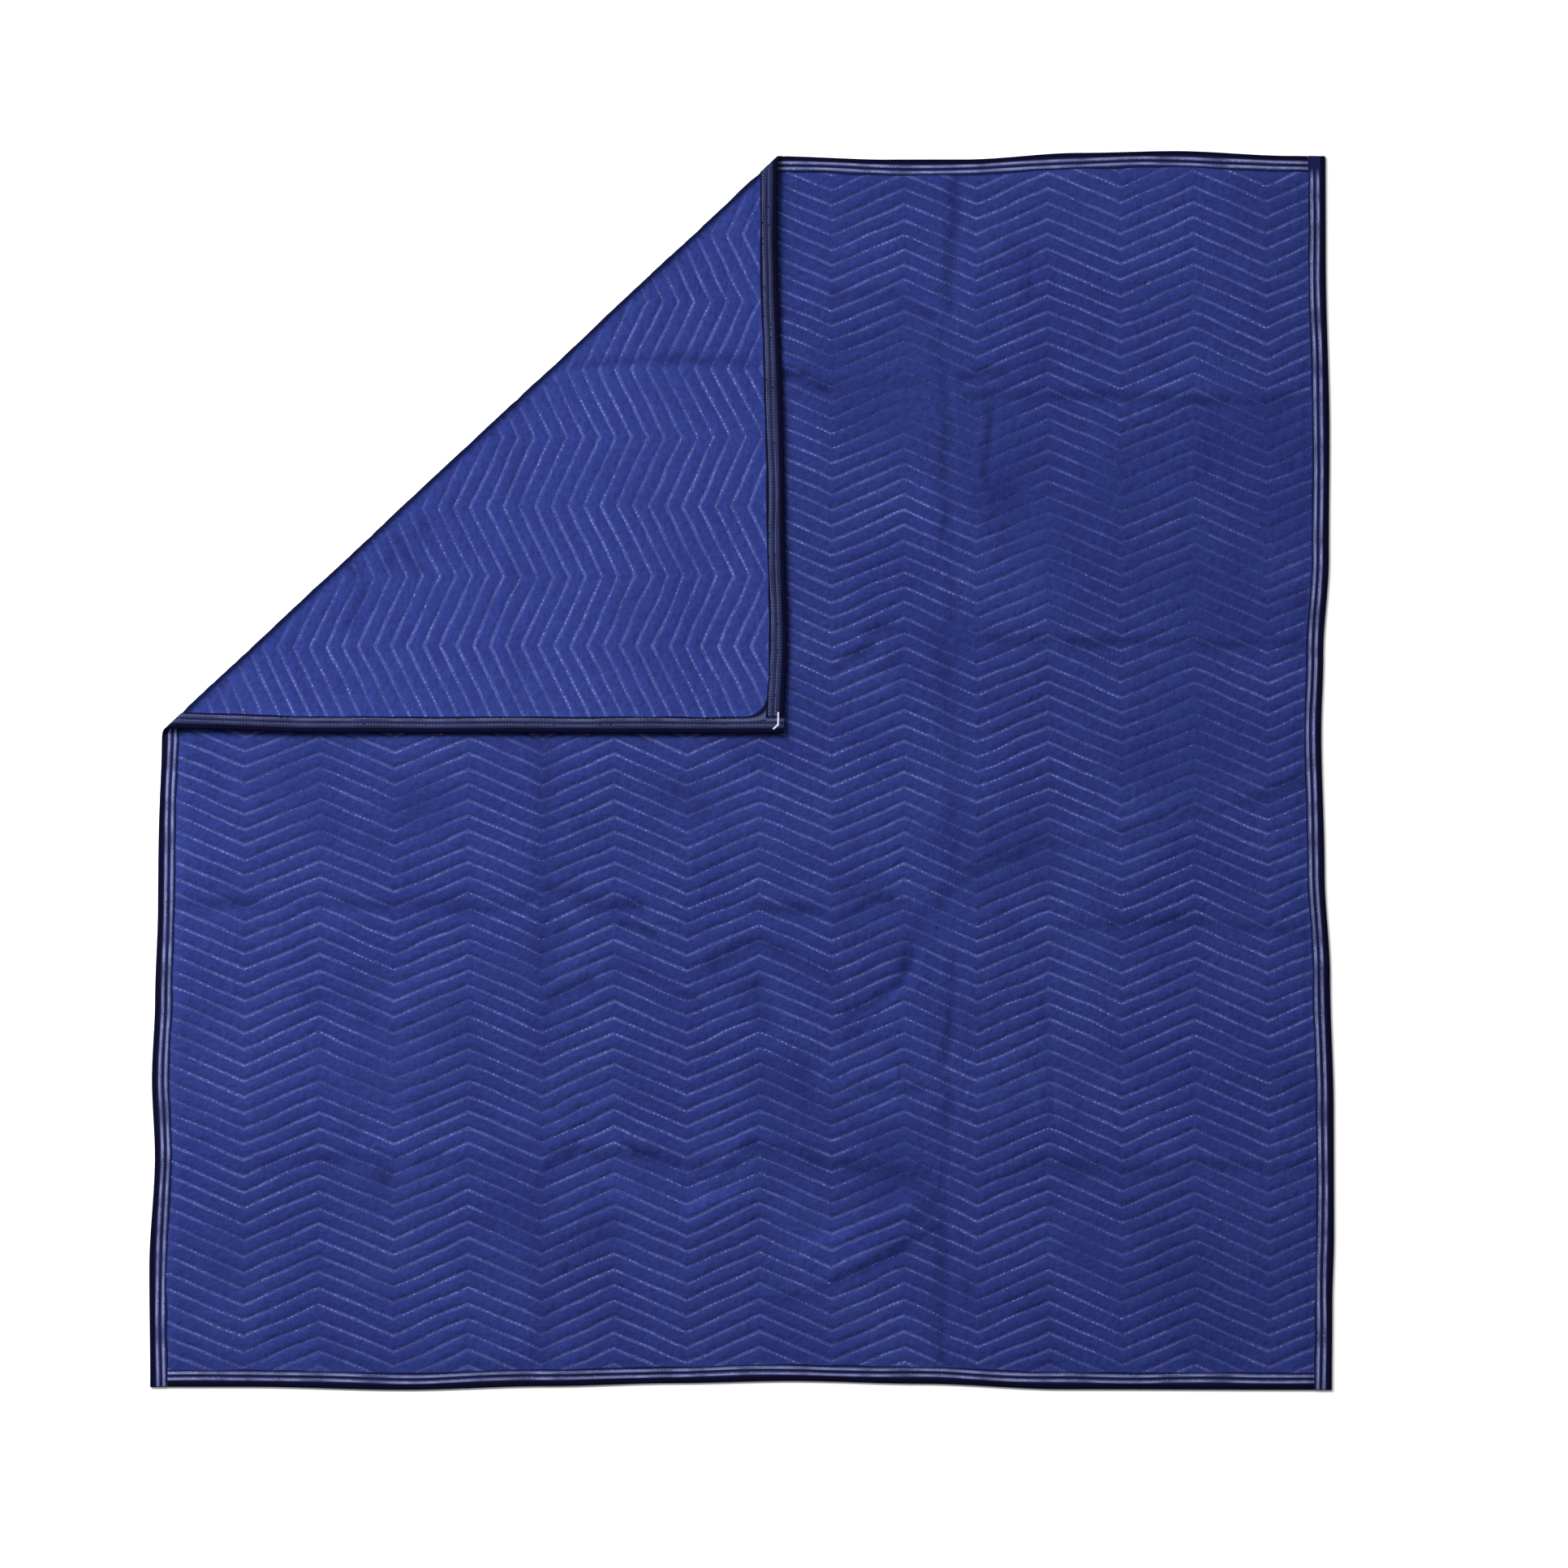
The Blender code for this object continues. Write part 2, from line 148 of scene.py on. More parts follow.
# Creases from storage, then the wrinkles across and between them, then those on the turned corner; Wear
# paints shade into their troughs and light onto their ridges
CREASES = (
    Crease(11, 0.2, ((340, 1010, 1.8), (330, 866, 1.9), (325, 770, 1.8), (313, 700, 0.7),
                     (320, 655, 1.6))),
    Crease(11, 0.2, ((320, 655, 1.8), (322, 413, 2.4), (330, 340, 0.7), (333, 293, 1.0),
                     (322, 215, 1.5))),
    Crease(18, 0.1, ((322, 215, 1.3), (325, 100, 1.0), (335, -70, 1.4), (330, -160, 1.5),
                     (322, -215, 1.0))),
    Crease(9, 0.3, ((333, -310, 0.8), (332, -350, 2.2), (326, -414, 2.6), (319, -478, 3.0),
                    (306, -494, 1.2))),
    Crease(10, 0.2, ((312, -505, 1.2), (326, -548, 2.0), (318, -610, 1.3), (313, -757, 1.3))),
    Crease(10, 0.2, ((313, -757, 1.5), (318, -832, 1.8), (312, -930, 2.0), (316, -1010, 2.6))),
    Crease(17, 0.1, ((-303, 60, 0.9), (-303, 0, 1.6), (-303, -80, 1.7), (-306, -150, 1.2),
                     (-304, -280, 1.1))),
    Crease(17, 0.1, ((-304, -280, 1.3), (-303, -400, 1.1), (-306, -530, 0.8), (-307, -720, 0.8),
                     (-309, -800, 1.2))),
    Crease(16, 0.1, ((-309, -800, 1.0), (-300, -890, 0.7), (-309, -1010, 1.1))),
    Crease(7, -0.3, ((387, 610, 1.0), (387, 560, 2.4), (387, 480, 2.2))),
    Crease(7, 0.2, ((453, 873, 1.6), (450, 781, 1.8))),
    Crease(8, 0.2, ((728, 540, 2.0), (728, 490, 2.0))),
    Crease(8, 0.0, ((354, -850, 2.0), (354, -880, 2.0))),
    Crease(8, 0.2, ((473, -376, 1.2), (477, -473, 1.5), (478, -503, 1.2), (480, -578, 1.9))),
    Crease(10, 0.1, ((450, -487, 1.6), (503, -484, 1.8))),
    Crease(10, 0.3, ((60, 657, 3.2), (100, 648, 3.2), (134, 633, 3.0), (201, 632, 1.3),
                     (254, 647, 2.2), (312, 640, 1.0))),
    Crease(9, 0.25, ((340, 646, 2.2), (393, 657, 2.3), (418, 657, 1.8))),
    Crease(9, 0.25, ((352, 616, 2.2), (440, 619, 2.9), (515, 621, 2.9), (560, 617, 2.3),
                     (600, 615, 2.6))),
    Crease(9, 0.25, ((600, 615, 2.6), (700, 612, 2.9), (800, 610, 2.8), (850, 611, 1.8),
                     (905, 612, 2.2))),
    Crease(9, 0.3, ((150, 784, 2.2), (194, 795, 2.8), (212, 781, 1.8), (241, 791, 3.0),
                    (267, 770, 2.0), (303, 748, 2.8))),
    Crease(9, 0.2, ((60, 757, 2.4), (86, 755, 2.2))),
    Crease(9, 0.2, ((168, 708, 1.6), (228, 724, 1.6))),
    Crease(9, 0.2, ((205, 222, 2.0), (228, 236, 2.4), (262, 228, 2.0), (353, 210, 1.2), (393, 215, 1.7))),
    Crease(10, 0.25, ((393, 215, 1.8), (486, 209, 2.0), (532, 210, 3.0), (620, 211, 3.0),
                      (680, 205, 1.9), (905, 208, 2.2))),
    Crease(10, 0.3, ((148, 168, 2.6), (205, 198, 3.2))),
    Crease(9, 0.25, ((212, 164, 2.6), (256, 188, 2.6))),
    Crease(12, 0.3, ((315, -212, 1.6), (368, -167, 2.2), (415, -150, 1.9), (452, -130, 2.6),
                     (530, -122, 2.9))),
    Crease(10, 0.3, ((530, -122, 2.4), (606, -107, 1.6), (655, -85, 1.6), (704, -66, 2.1),
                     (740, -80, 1.1), (785, -57, 1.7))),
    Crease(12, 0.3, ((785, -57, 1.9), (812, -48, 2.6), (882, -15, 2.3))),
    Crease(9, 0.35, ((315, -226, 1.8), (277, -243, 2.5), (273, -282, 3.2), (253, -332, 3.8))),
    Crease(9, 0.3, ((250, -351, 3.6), (214, -375, 3.0))),
    Crease(8, 0.25, ((207, -387, 2.9), (170, -409, 2.6))),
    Crease(8, 0.2, ((208, -421, 2.1), (160, -446, 2.1))),
    Crease(7, 0.2, ((182, -532, 2.0), (205, -531, 2.8), (275, -529, 2.6))),
    Crease(10, 0.2, ((515, -264, 1.8), (564, -257, 2.0), (634, -257, 2.0), (704, -249, 2.2),
                     (774, -264, 2.0), (880, -272, 2.5))),
    Crease(10, 0.3, ((25, -228, 2.0), (75, -228, 2.4), (120, -235, 3.0), (160, -250, 3.2),
                     (216, -216, 3.2), (258, -224, 2.4))),
    Crease(12, 0.4, ((-60, -334, 1.8), (-40, -322, 2.8), (5, -292, 2.9), (40, -286, 2.2))),
    Crease(8, 0.3, ((40, -287, 2.0), (60, -300, 2.2), (110, -327, 2.8), (154, -347, 2.8))),
    Crease(18, 0.0, ((25, -365, 2.0), (42, -415, 2.0))),
    Crease(16, 0.0, ((100, -480, 1.3), (104, -565, 1.3))),
    Crease(13, 0.0, ((-37, -240, -1.4), (40, -262, -1.4))),
    Crease(11, -0.25, ((-875, -224, 2.0), (-775, -229, 2.5), (-698, -223, 2.3), (-614, -227, 2.5),
                       (-545, -231, 2.3))),
    Crease(11, -0.25, ((-545, -231, 2.3), (-488, -227, 2.6), (-432, -235, 2.4), (-345, -225, 1.2))),
    Crease(11, 0.2, ((-345, -225, 1.4), (-292, -201, 2.2), (-250, -201, 2.2))),
    Crease(11, 0.2, ((-250, -212, 1.6), (-218, -229, 2.8), (-160, -226, 2.8))),
    Crease(7, 0.3, ((-182, -255, 2.8), (-129, -274, 3.2))),
    Crease(8, 0.4, ((-200, -300, 2.0), (-152, -338, 2.8), (-110, -358, 3.4), (-70, -378, 3.2))),
    Crease(12, 0.0, ((-208, -280, -1.6), (-96, -346, -1.6))),
    Crease(11, 0.2, ((-294, -388, 2.6), (-230, -352, 2.4))),
    Crease(12, 0.3, ((-740, -650, 1.2), (-670, -645, 2.0), (-600, -642, 2.3), (-535, -647, 2.0),
                     (-400, -650, 1.2), (-300, -657, 1.5))),
    Crease(12, 0.35, ((-292, -655, 2.4), (-250, -628, 3.0), (-222, -641, 3.2), (-165, -634, 3.4),
                      (-131, -642, 2.4), (-55, -662, 2.0))),
    Crease(12, 0.35, ((-55, -662, 2.0), (-12, -655, 2.8), (20, -629, 3.2), (60, -640, 2.0),
                      (95, -630, 2.5), (125, -650, 2.9))),
    Crease(14, 0.3, ((125, -650, 2.0), (200, -659, 2.2), (240, -664, 3.0), (282, -668, 2.6))),
    Crease(11, 0.2, ((425, -668, 1.8), (470, -652, 2.2), (600, -664, 1.7), (680, -667, 1.5),
                     (715, -652, 2.1), (850, -662, 1.2))),
    Crease(11, 0.2, ((850, -662, 1.6), (903, -660, 2.4))),
    Crease(10, 0.5, ((130, -858, 1.4), (157, -842, 3.4), (190, -826, 4.6), (225, -805, 5.0),
                     (259, -784, 4.6))),
    Crease(9, 0.3, ((258, -781, 3.0), (285, -768, 1.6), (316, -753, 1.8))),
    Crease(11, 0.0, ((312, -705, 1.8), (270, -750, 1.8))),
    Crease(15, 0.0, ((90, -805, -2.0), (180, -765, -3.2), (260, -722, -2.8))),
    Crease(10, 0.2, ((64, -877, 1.8), (124, -877, 1.8))),
    Crease(16, 0.0, ((-195, -690, -2.4), (-89, -735, -3.0), (5, -695, -2.4))),
    Crease(14, 0.0, ((-292, -600, -1.3), (-194, -540, -1.3))),
    Crease(16, 0.0, ((-257, -780, 1.6), (-194, -770, 1.6))),
    Crease(10, 0.2, ((-668, -374, 1.6), (-622, -381, 1.6))),
    Crease(9, 0.2, ((-300, 690, 0.6), (-294, 765, 2.6), (-296, 900, 2.9), (-297, 1030, 2.6))),
    Crease(10, 0.3, ((-885, 622, 0.7), (-350, 620, 0.7))),
    Crease(11, 0.0, ((-590, 434, 2.4), (-612, 446, 3.4), (-642, 463, 2.6))),
    Crease(10, 0.0, ((-564, 470, 3.0), (-594, 486, 3.0))),
    Crease(11, 0.0, ((-638, 367, 2.8), (-672, 381, 3.2), (-732, 361, 2.2))),
    Crease(11, 0.0, ((-603, 421, 2.4), (-634, 416, 2.4))),
)

# Where upright creases lie across, for the columns of points that are set close together there
UPRIGHT_CREASES_MM = (322, -304, 387)

# Small hollows, with their depths in mm; Wear paints shade into them, and light onto the one of negative
# depth
DENTS = table(
    Patch, (-275, -273, 15, 1.6), (-551, -675, 22, 2.4), (-271, -828, 9, 3.0), (-575, -417, 16, 1.5),
    (-502, -63, 20, 1.6), (-572, -119, 22, 1.4), (-89, -40, 22, 1.5), (-61, -78, 20, 1.5),
    (-488, -563, 16, 1.7), (-597, -604, 10, 2.0), (-796, -832, 28, 1.3), (407, 448, 26, 1.8),
    (852, 502, 10, 2.0), (877, 279, 11, 2.2), (245, -930, 36, -1.0), (720, -790, 115, 0.8),
)

# Patches where the stitched rows show less, by shares of their strength
FADES = table(
    Patch, (268, 632, 110, 0.85), (210, 600, 70, 0.55), (400, 524, 90, 0.80), (400, 457, 60, 0.75),
    (728, 551, 90, 0.60), (596, 470, 60, 0.80), (858, 551, 80, 0.75), (858, 417, 60, 0.75),
    (470, 400, 70, 0.60), (600, 330, 210, 0.35), (728, 282, 100, 0.55), (334, 215, 45, 0.75),
    (690, 34, 100, 0.70), (629, -27, 50, 0.45), (-682, -13, 60, 0.65), (-494, -67, 60, 0.75),
    (-640, -90, 40, 0.60), (367, -165, 50, 0.60), (440, -135, 65, 0.75), (199, -219, 55, 0.75),
    (297, -251, 45, 0.75), (460, 676, 30, 0.70), (-452, -417, 50, 0.60), (-550, -511, 80, 0.50),
    (72, -515, 40, 0.60), (237, -645, 75, 0.75), (-342, -739, 55, 0.70), (530, -794, 40, 0.85),
    (72, -655, 50, 0.50), (137, 672, 40, 0.70), (792, 336, 40, 0.65), (-60, -60, 40, 0.45),
)

ROW_DRIFTS = table(
    RowDrift, (-927, -10.0, -0.6, -8.0), (-698, 0.3, 6.6, -2.2), (-544, 3.4, 6.9, 0.5),
    (-391, 9.3, 8.1, 4.2), (-161, 12.2, 7.0, 6.0), (69, 14.0, 9.7, 2.0), (375, 14.0, 10.0, 3.6),
    (681, 14.0, 10.9, 7.6), (988, 14.0, 8.4, 14.5),
)

# The three places across of each row's drifts
DRIFT_X_MM = (-656, 142, 709)

# How far the zigzag's turns lie to the right
TURN_DRIFTS = table(
    Drift, (-914, 2.0), (-773, 4.0), (-600, 7.0), (-390, 8.5), (-100, 4.5), (142, 0.0), (370, -3.5),
    (480, -7.0), (914, -10.0),
)


def smooth(share: Array) -> Array:
    """Eases a share of the way at both ends.

    Args:
        share: any numbers; those outside 0 to 1 are taken as the nearer end.

    Returns:
        The eased shares, from 0 to 1.
    """
    share = np.clip(share, 0, 1)
    return share * share * (3 - 2 * share)


@dataclass(frozen=True)
class Unevenness:
    """A smooth random field over the cloth, made of plane waves."""

    wavelength: float
    seed: int
    amount: float = 1.0
    waves: int = 14
    spread: float = 0.45
    level: float = 1.2

    def at(self, x: Array, y: Array) -> Array:
        """Reads the field.

        Args:
            x: places across, in metres.
            y: places along, in metres.

        Returns:
            Values that are mostly within the amount on either side of 0.
        """
        draw = np.random.default_rng(self.seed)
        total = np.zeros(np.shape(x))
        for _ in range(self.waves):
            heading = draw.uniform(0, math.tau)
            wave = math.tau / (self.wavelength * draw.uniform(1 - self.spread, 1 + self.spread))
            start = draw.uniform(0, math.tau)
            total = total + np.sin((x * math.cos(heading) + y * math.sin(heading)) * wave + start)
        return self.amount * (total * math.sqrt(self.level / self.waves))


@dataclass(frozen=True)
class Cut:
    """The straight cut of the blanket, and how unevenly its edges lie."""

    width: float = 1.8288
    length: float = 2.0320
    falloff: int = 3
    passes: int = 12

    def outward(self, edge: Edge, along: Array) -> Array:
        """How far an edge stands out of the cut.

        Args:
            edge: the edge.
            along: places along it, in metres.

        Returns:
            Distances in metres.
        """
        points = EDGES[edge]
        place = along / MM
        value = np.full(np.shape(place), points[0].by_mm, float)
        for near, far in zip(points, points[1:]):
            step = smooth((place - near.at_mm) / (far.at_mm - near.at_mm))
            value = value + (far.by_mm - near.by_mm) * step
        return value * MM

    def lay(self, u: Array, v: Array) -> tuple[Array, Array]:
        """Where points of the cut lie.

        Args:
            u: places across the cut.
            v: places along it.

        Returns:
            Their x and y.
        """
        from_left = np.clip(u / self.width + 0.5, 0, 1)
        from_bottom = np.clip(v / self.length + 0.5, 0, 1)
        x = u + self.outward(Edge.RIGHT, v) * from_left**self.falloff
        x = x - self.outward(Edge.LEFT, v) * (1 - from_left) ** self.falloff
        y = v + self.outward(Edge.TOP, u) * from_bottom**self.falloff
        y = y - self.outward(Edge.BOTTOM, u) * (1 - from_bottom) ** self.falloff
        return x, y

    def find(self, x: Array, y: Array) -> tuple[Array, Array]:
        """Which points of the cut lie at given places.

        Args:
            x: places across.
            y: places along.

        Returns:
            Their u and v.
        """
        u, v = x, y
        for _ in range(self.passes):
            laid_x, laid_y = self.lay(u, v)
            u, v = u + x - laid_x, v + y - laid_y
        return u, v

    def to_edge(self, u: Array, v: Array) -> Array:
        """The distance of points from the nearest cut edge."""
        return np.minimum(self.width / 2 - np.abs(u), self.length / 2 - np.abs(v))


@dataclass(frozen=True)
class Fold:
    """The turned corner: a half turn at 45 degrees, a little fuller than its two layers."""

    start: float = 0.6744
    axis_height: float = 0.0080
    middle_radius: float = 0.0060
    roll: float = 0.28
    roll_reach: float = 0.055
    slack: float = 0.0052
    slack_reach: float = 0.070
    lift: float = 0.0012
    uneven_lift: Unevenness = Unevenness(0.36, 11)

    @property
    def length(self) -> float:
        """The length of cloth in the turn."""
        return math.pi * self.middle_radius

    @property
    def end(self) -> float:
        """How far from the middle the turned cloth leaves the bend."""
        return self.start + self.length

    @property
    def mirror(self) -> float:
        """How far the line y = x + mirror, on which the corner is turned, lies from the middle."""
        return math.sqrt(2) * (self.start + self.length / 2)

    def across(self, x: Array, y: Array) -> Array:
        """How far places lie from the middle, towards the turned corner."""
        return (y - x) / math.sqrt(2)

    def turned(self, x: Array, y: Array) -> Array:
        """0 before the turn, 1 after it."""
        return np.clip((self.across(x, y) - self.start) / self.length, 0, 1)

    def over(self, x: Array, y: Array, w: Array) -> Array:
        """Turns the corner over.

        Args:
            x: places across, as laid.
            y: places along, as laid.
            w: heights in the cloth.

        Returns:
            Points, as rows of x, y and z.
        """
        across = self.across(x, y)
        along = (x + y) / math.sqrt(2)
        turn = self.turned(x, y)
        radius = self.axis_height - w
        beyond = np.maximum(across - self.end, 0)
        folded = np.minimum(across, self.start) + radius * np.sin(math.pi * turn) - beyond
        z = self.axis_height - radius * np.cos(math.pi * turn)
        behind = np.maximum(self.start - folded, 0)
        folded = folded - self.slack * np.exp(-((behind / self.slack_reach) ** 2))
        z = z * (1 + self.roll * np.exp(-((behind / self.roll_reach) ** 2)))
        lift = self.lift * (1 + self.uneven_lift.at(x, y)) * smooth(turn)
        z = z + lift * smooth(behind / self.roll_reach)
        root = math.sqrt(2)
        return np.stack(((along - folded) / root, (along + folded) / root, z), axis=-1)

    def covers(self, cut: Cut, x: Array, y: Array) -> Array:
        """How far inside the turned corner's outline places under it are, negative outside it."""
        u, v = y - self.mirror, x + self.mirror
        return np.minimum(cut.length / 2 - v, u + cut.width / 2)


@dataclass(frozen=True)
class Lie:
    """Where the blanket lies: cut, turned corner and place in the frame together."""

    cut: Cut = Cut()
    fold: Fold = Fold()

    @property
    def middle(self) -> Array:
        """The middle of the outline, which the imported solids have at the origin.

        Returns:
            Its place before the shift.
        """
        furthest_right = self.cut.width / 2 + max(drift.by_mm for drift in EDGES[Edge.RIGHT]) * MM
        lowest = -self.cut.length / 2 - max(drift.by_mm for drift in EDGES[Edge.BOTTOM]) * MM
        right_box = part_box(Edge.RIGHT.value)[1].x
        bottom_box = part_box(Edge.BOTTOM.value)[0].y
        return np.array((furthest_right - right_box, lowest - bottom_box, 0.0))

    def place(self, x: Array, y: Array, w: Array) -> Array:
        """Points of the frame for laid places at heights w in the cloth.

        Args:
            x: places across.
            y: places along.
            w: heights in the cloth.

        Returns:
            Points, as rows of x, y and z.
        """
        return self.fold.over(x, y, w) - self.middle


@dataclass(frozen=True)
class Quilting:
    """The zigzag rows of stitches and the puffs between them."""

    row_pitch: float = 0.0254
    zigzag_period: float = 0.2286
    zigzag_rise: float = 0.0508
    first_valley: float = 0.1420
    turn_sharpness: float = 0.998
    stitched: float = 0.0040
    puff: float = 0.0035
    puff_power: float = 2.3
    back_groove: float = 0.0015
    back_drift: float = -0.0107
    back_lean: float = -0.0225
    wobble: Unevenness = Unevenness(0.11, 61, 0.0010)
    passes: int = 8

    def drawn(self, x: Array, y: Array, side: Side) -> tuple[Array, Array]:
        """Even quilting coordinates of laid places, with the rows' drift taken out.

        Args:
            x: places across.
            y: places along.
            side: the cloth.

        Returns:
            Places across and along in the even quilting.
        """
        shift = self.turn_shift(x)
        y = y + self.wobble.at(x, y)
        if side is Side.BACK:
            return x - shift, y - self.back_drift - self.back_lean * x
        heights, *drifts = zip(*ROW_DRIFTS)
        left, middle, right = (np.interp(y / MM, heights, drift) for drift in drifts)
        left_x, middle_x, right_x = DRIFT_X_MM
        on_left = x / MM < middle_x
        share = (x / MM - middle_x) / np.where(on_left, left_x - middle_x, right_x - middle_x)
        drift = middle + (np.where(on_left, left, right) - middle) * share
        return x - shift, y - drift * MM

    def turn_shift(self, x: Array) -> Array:
        """How far the zigzag's turns lie to the right of their even places."""
        places, shifts = zip(*TURN_DRIFTS)
        return np.interp(x / MM, places, shifts) * MM

    def rows(self, cut: Cut) -> Array:
        """The numbers of the stitched rows, from below the cut to above it."""
        reach = math.ceil((cut.length / 2 + 2 * self.zigzag_rise) / self.row_pitch)
        return np.arange(-reach, reach) + 0.5

    def zigzag(self, across: Array) -> Array:
        """How far a row has risen above its valleys.

        Args:
            across: places across in the even quilting.

        Returns:
            Heights along the cloth.
        """
        share = (across - self.first_valley) / self.zigzag_period
        wave = np.arcsin(self.turn_sharpness * np.sin(math.tau * share - math.pi / 2))
        return self.zigzag_rise * (1 + wave / math.asin(self.turn_sharpness)) / 2

    def line(self, cut: Cut, row: Array, u: Array, side: Side) -> Array:
        """Where lines along the rows cross the columns of the cut.

        Args:
            cut: the cut.
            row: each line's number, a whole number and a half on a stitched row.
            u: the columns, one for each row number.
            side: the cloth.

        Returns:
            The v of each crossing.
        """
        v = row * self.row_pitch
        for _ in range(self.passes):
            x, y = cut.lay(u, v)
            across, along = self.drawn(x, y, side)
            v = v + row * self.row_pitch + self.zigzag(across) - along
        return v


@dataclass(frozen=True)
class Relief:
    """Creases, dents and swells of the laid cloth."""

    wander_across: Unevenness = Unevenness(0.11, 5, 0.0022)
    wander_along: Unevenness = Unevenness(0.11, 6, 0.0022)
    depth_share: float = 0.85
    uneven_depth: Unevenness = Unevenness(0.16, 8, 0.3)
    crease_reach: float = 4.0
    ridge_away: float = 1.9
    swell: Unevenness = Unevenness(0.27, 21, 0.0007)

    def sink(self, x: Array, y: Array) -> Array:
        """How deep the creases and dents press the cloth.

        Args:
            x: places across.
            y: places along.

        Returns:
            Depths, negative on ridges.
        """
        x, y = x + self.wander_across.at(x, y), y + self.wander_along.at(x, y)
        uneven = self.depth_share * (1 + self.uneven_depth.at(x, y)) * MM
        deepest = np.zeros(np.shape(x))
        highest = np.zeros(np.shape(x))
        for crease in CREASES:
            half_width = crease.half_width_mm * MM
            stops = np.array(crease.stops)
            for (x0, y0, depth0), (x1, y1, depth1) in zip(stops, stops[1:]):
                start, span = np.array((x0, y0)) * MM, np.array((x1 - x0, y1 - y0)) * MM
                length = math.hypot(*span)
                middle = start + span / 2
                reach = length / 2 + self.crease_reach * half_width
                near = np.hypot(x - middle[0], y - middle[1]) < reach
                from_x, from_y = x[near] - start[0], y[near] - start[1]
                way = np.clip((from_x * span[0] + from_y * span[1]) / length**2, 0, 1)
                away = np.hypot(from_x - way * span[0], from_y - way * span[1])
                left = np.sign(from_y * span[0] - from_x * span[1]) * math.copysign(1, crease.ridge_share)
                depth = (depth0 + (depth1 - depth0) * way) * uneven[near]
                trough = depth * np.exp(-((away / half_width) ** 2))
                beside = left * away / half_width - self.ridge_away
                ridge = abs(crease.ridge_share) * depth * np.exp(-(beside**2))
                deepest[near] = np.maximum(deepest[near], trough)
                highest[near] = np.minimum(highest[near], np.minimum(trough, -ridge))
        for dent in DENTS:
            hollow = dent.strength * MM * np.exp(-(dent.away(x, y) ** 2))
            deepest = np.maximum(deepest, hollow)
            highest = np.minimum(highest, hollow)
        return deepest + highest


def faded(x: Array, y: Array) -> Array:
    """How much less the stitched rows show.

    Args:
        x: places across.
        y: places along.

    Returns:
        Shares of their strength that are lost, from 0 to 1.
    """
    kept = np.ones(np.shape(x))
    for fade in FADES:
        kept = kept * (1 - fade.strength * np.exp(-(fade.away(x, y) ** 4)))
    return 1 - kept


@dataclass(frozen=True)
class Wear:
    """Painted shade in creases, dents and along the folded edge, painted light on ridges and beside the
    tapes, and how use has worn the cloth's thread.
    """

    lie: Lie
    relief: Relief
    deepest: float = 0.0032
    hollow_shade: float = 0.42
    ridge_light: float = 0.38
    fade_shade: float = 0.08
    thread_loss: float = 0.80
    rim_light: float = 0.12
    rim_light_at: float = 0.0305
    rim_light_reach: float = 0.0040
    broken: float = 0.85
    uneven_breaks: Unevenness = Unevenness(0.045, 71, 0.3)
    fold_under: float = 0.012
    fold_shade: float = 0.83
    fold_line: Pair = (0.0062, 0.0145)
    fold_reach: float = 0.028

    def near_fold(self, x: Array, y: Array) -> Array:
        """1 in the middle of the fold, going to 0 away from it."""
        away = self.lie.fold.across(x, y) - (self.lie.fold.start + self.lie.fold.end) / 2
        return np.exp(-((away / self.fold_reach) ** 2))

    def hollow(self, x: Array, y: Array) -> Array:
        """How deep in a crease or dent laid places are, from 0 to 1, and below 0 on a ridge."""
        return np.clip(self.relief.sink(x, y) / self.deepest, -1, 1)

    def worn(self, x: Array, y: Array) -> Array:
        """How much of the rows' thread is rubbed off or sunk, from 0 to 1."""
        sunk = self.thread_loss * np.sqrt(np.maximum(self.hollow(x, y), 0))
        return np.clip(np.maximum(np.maximum(faded(x, y), sunk), self.near_fold(x, y)), 0, 1)

    def shade(self, x: Array, y: Array) -> Array:
        """How much shade is painted into the cloth: painted shade in creases, dents and along and under
        the folded edge, painted light on ridges and in a strip beside the tapes, and a little darker where
        the rows have faded.

        Args:
            x: places across.
            y: places along.

        Returns:
            Shares of its colour that are lost, below 0 where light is painted.
        """
        cut, fold = self.lie.cut, self.lie.fold
        # Painted shade along the folded edge, from a little under the cloth to a band in from the bend's
        # outermost line
        across = fold.across(x, y)
        turn = fold.turned(x, y)
        beyond = np.maximum(across - fold.end, 0)
        inside = fold.axis_height * (1 - np.sin(math.pi * turn)) + beyond
        near, far = self.fold_line
        outer = smooth(1 + (across - fold.start) / self.fold_under)
        outer = outer * (1 - smooth((inside - near) / (far - near)))
        # Painted shade in troughs and painted light on ridges, broken up at random
        broken = np.clip(self.broken + self.uneven_breaks.at(x, y), 0, 1)
        hollow = self.hollow(x, y)
        kept = 1 - broken * np.where(hollow > 0, self.hollow_shade, self.ridge_light) * hollow
        kept = kept * (1 - self.fade_shade * faded(x, y))
        # Painted light in a strip just in from the tapes
        rim = (cut.to_edge(*cut.find(x, y)) - self.rim_light_at) / self.rim_light_reach
        kept = kept * (1 + self.rim_light * np.exp(-(rim**2)))
        return 1 - kept * (1 - self.fold_shade * outer)


def show(name: str, data: ID) -> Object:
    """Puts an object that shows some data into the scene.

    Args:
        name: the object's name.
        data: what it shows.

    Returns:
        The object, at the origin.
    """
    shown = bpy.data.objects.new(name, data)
    bpy.context.scene.collection.objects.link(shown)
    return shown


def note_points(mesh: Mesh, **values: Array) -> None:
    """Keeps numbers for each point of a mesh.

    Args:
        mesh: the mesh.
        **values: the numbers, under the names that they are kept by.
    """
    for name, value in values.items():
        kept = mesh.attributes.new(name, "FLOAT", "POINT")
        kept.data.foreach_set("value", value.astype(np.float32))


def note_map(mesh: Mesh, name: str, places: Array) -> None:
    """Gives a mesh a UV map.

    Args:
        mesh: the mesh.
        name: the map's name.
        places: where each point lies in the map, as rows of two.
    """
    corner_of = np.empty(len(mesh.loops), np.int32)
    mesh.loops.foreach_get("vertex_index", corner_of)
    layer = mesh.uv_layers.new(name=name)
    layer.data.foreach_set("uv", places[corner_of].astype(np.float32).ravel())


